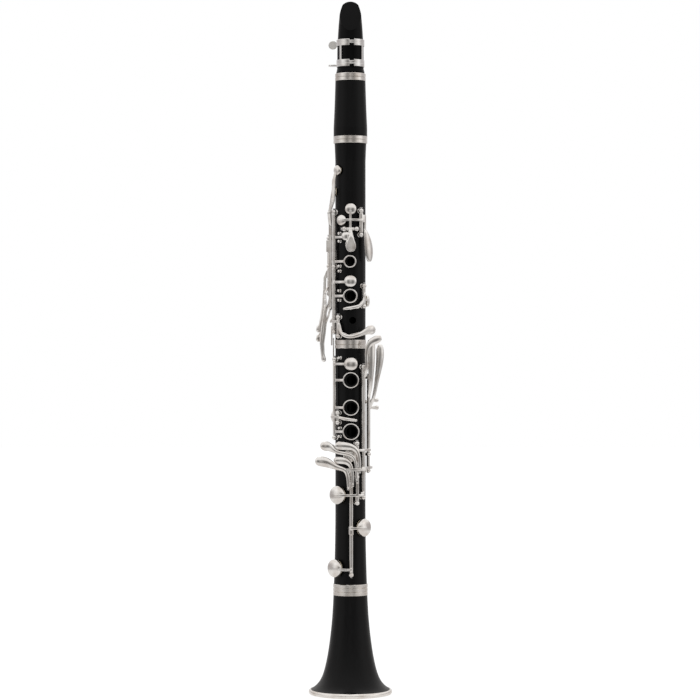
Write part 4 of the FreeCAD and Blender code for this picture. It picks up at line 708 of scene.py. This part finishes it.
def make_floor_finish(name):
    """Pale floor: white where the camera or glass sees it, in metal a painted reflection of the room's tones that it
    glows with, and it keeps a soft shadow.
    """
    finish = Finish(name, roughness=0.9, specular=0.0)
    finish.colour(finish.ramp(finish.noise(3, detail=2), (0.3, (0.30, 0.30, 0.30)), (0.7, (0.32, 0.32, 0.32))))
    diffuse = finish.shader.outputs["BSDF"]
    rays = finish.add("ShaderNodeLightPath").outputs
    seen = finish.calculate("MAXIMUM", rays["Is Camera Ray"], rays["Is Transmission Ray"])
    glow = finish.add("ShaderNodeEmission")
    glow.inputs["Strength"].default_value = FLOOR_GLOW
    both = finish.add("ShaderNodeAddShader")
    finish.link(diffuse, both.inputs[0])
    finish.link(glow.outputs["Emission"], both.inputs[1])
    away = finish.add("ShaderNodeVectorMath", operation="NORMALIZE")
    finish.link(finish.place, away.inputs[0])
    far = finish.add("ShaderNodeVectorMath", operation="LENGTH")
    finish.link(finish.place, far.inputs[0])
    fade = finish.spread(far.outputs["Value"], 0, 1, *FLOOR_FADE)
    # The painted reflection the floor glows with in metal instead of its lit colour: pale near the object, the
    # room's tones farther out, darkest towards the camera.
    tone = finish.mix_colours(fade, NEAR_FLOOR_PAINTED_REFLECTION, finish.room_tone(away.outputs["Vector"], FLOOR_TONES))
    unseen = finish.mix_shaders(rays["Is Glossy Ray"], diffuse, finish.glow("ShaderNodeEmission", tone))
    surface = finish.mix_shaders(seen, unseen, both.outputs["Shader"])
    finish.link(surface, finish.tree.nodes["Material Output"].inputs["Surface"])
    return finish.material


floor.data.materials.append(make_floor_finish("pale_floor"))


def make_studio_world(name):
    """White for the camera, plain for matt surfaces, and in a mirror a room that is darkest near the camera."""
    world = bpy.data.worlds.new(name)
    bpy.context.scene.world = world
    world.use_nodes = True
    world.node_tree.nodes.clear()
    shading = Shading(world.node_tree)
    where = shading.add("ShaderNodeTexCoord").outputs["Generated"]
    height = shading.part_of(where, "Z")
    floor_tone = shading.room_tone(where, FLOOR_TONES)
    wall_tone = shading.room_tone(where, STUDIO_WALLS)
    low_tone = shading.mix_colours(shading.spread(height, 0, 1, *HORIZON), floor_tone, wall_tone)
    tone = shading.mix_colours(shading.spread(height, 0, 1, *CORNICE), low_tone, CEILING_TONE)
    room, plain, white = [shading.glow("ShaderNodeBackground", colour) for colour in (tone, PLAIN_TONE, WHITE)]
    rays = shading.add("ShaderNodeLightPath").outputs
    lit = shading.mix_shaders(rays["Is Glossy Ray"], plain, room)
    surface = shading.mix_shaders(rays["Is Camera Ray"], lit, white)
    shading.link(surface, shading.add("ShaderNodeOutputWorld").inputs["Surface"])


make_studio_world("studio")

MIDDLE = (0, 0, 0.33)
# name, place, width, height, power
SOFTBOXES = (
    ("right_softbox", (2.6, -0.7, 0.7), 1.2, 2.0, 2.2),
    ("left_softbox", (-2.6, -1.0, 0.7), 1.0, 2.0, 0.8),
    ("top_softbox", (0, 0.9, 2.9), 2.0, 2.0, 8),
)

for name, place, width, height, power in SOFTBOXES:
    deselect_all()
    bpy.ops.object.light_add(type="AREA", location=place)
    lamp = bpy.context.object
    lamp.name = name
    lamp.data.shape = "RECTANGLE"
    lamp.data.size = width
    lamp.data.size_y = height
    lamp.data.energy = power
    lamp.rotation_euler = (Vector(MIDDLE) - Vector(place)).to_track_quat("-Z", "Y").to_euler()
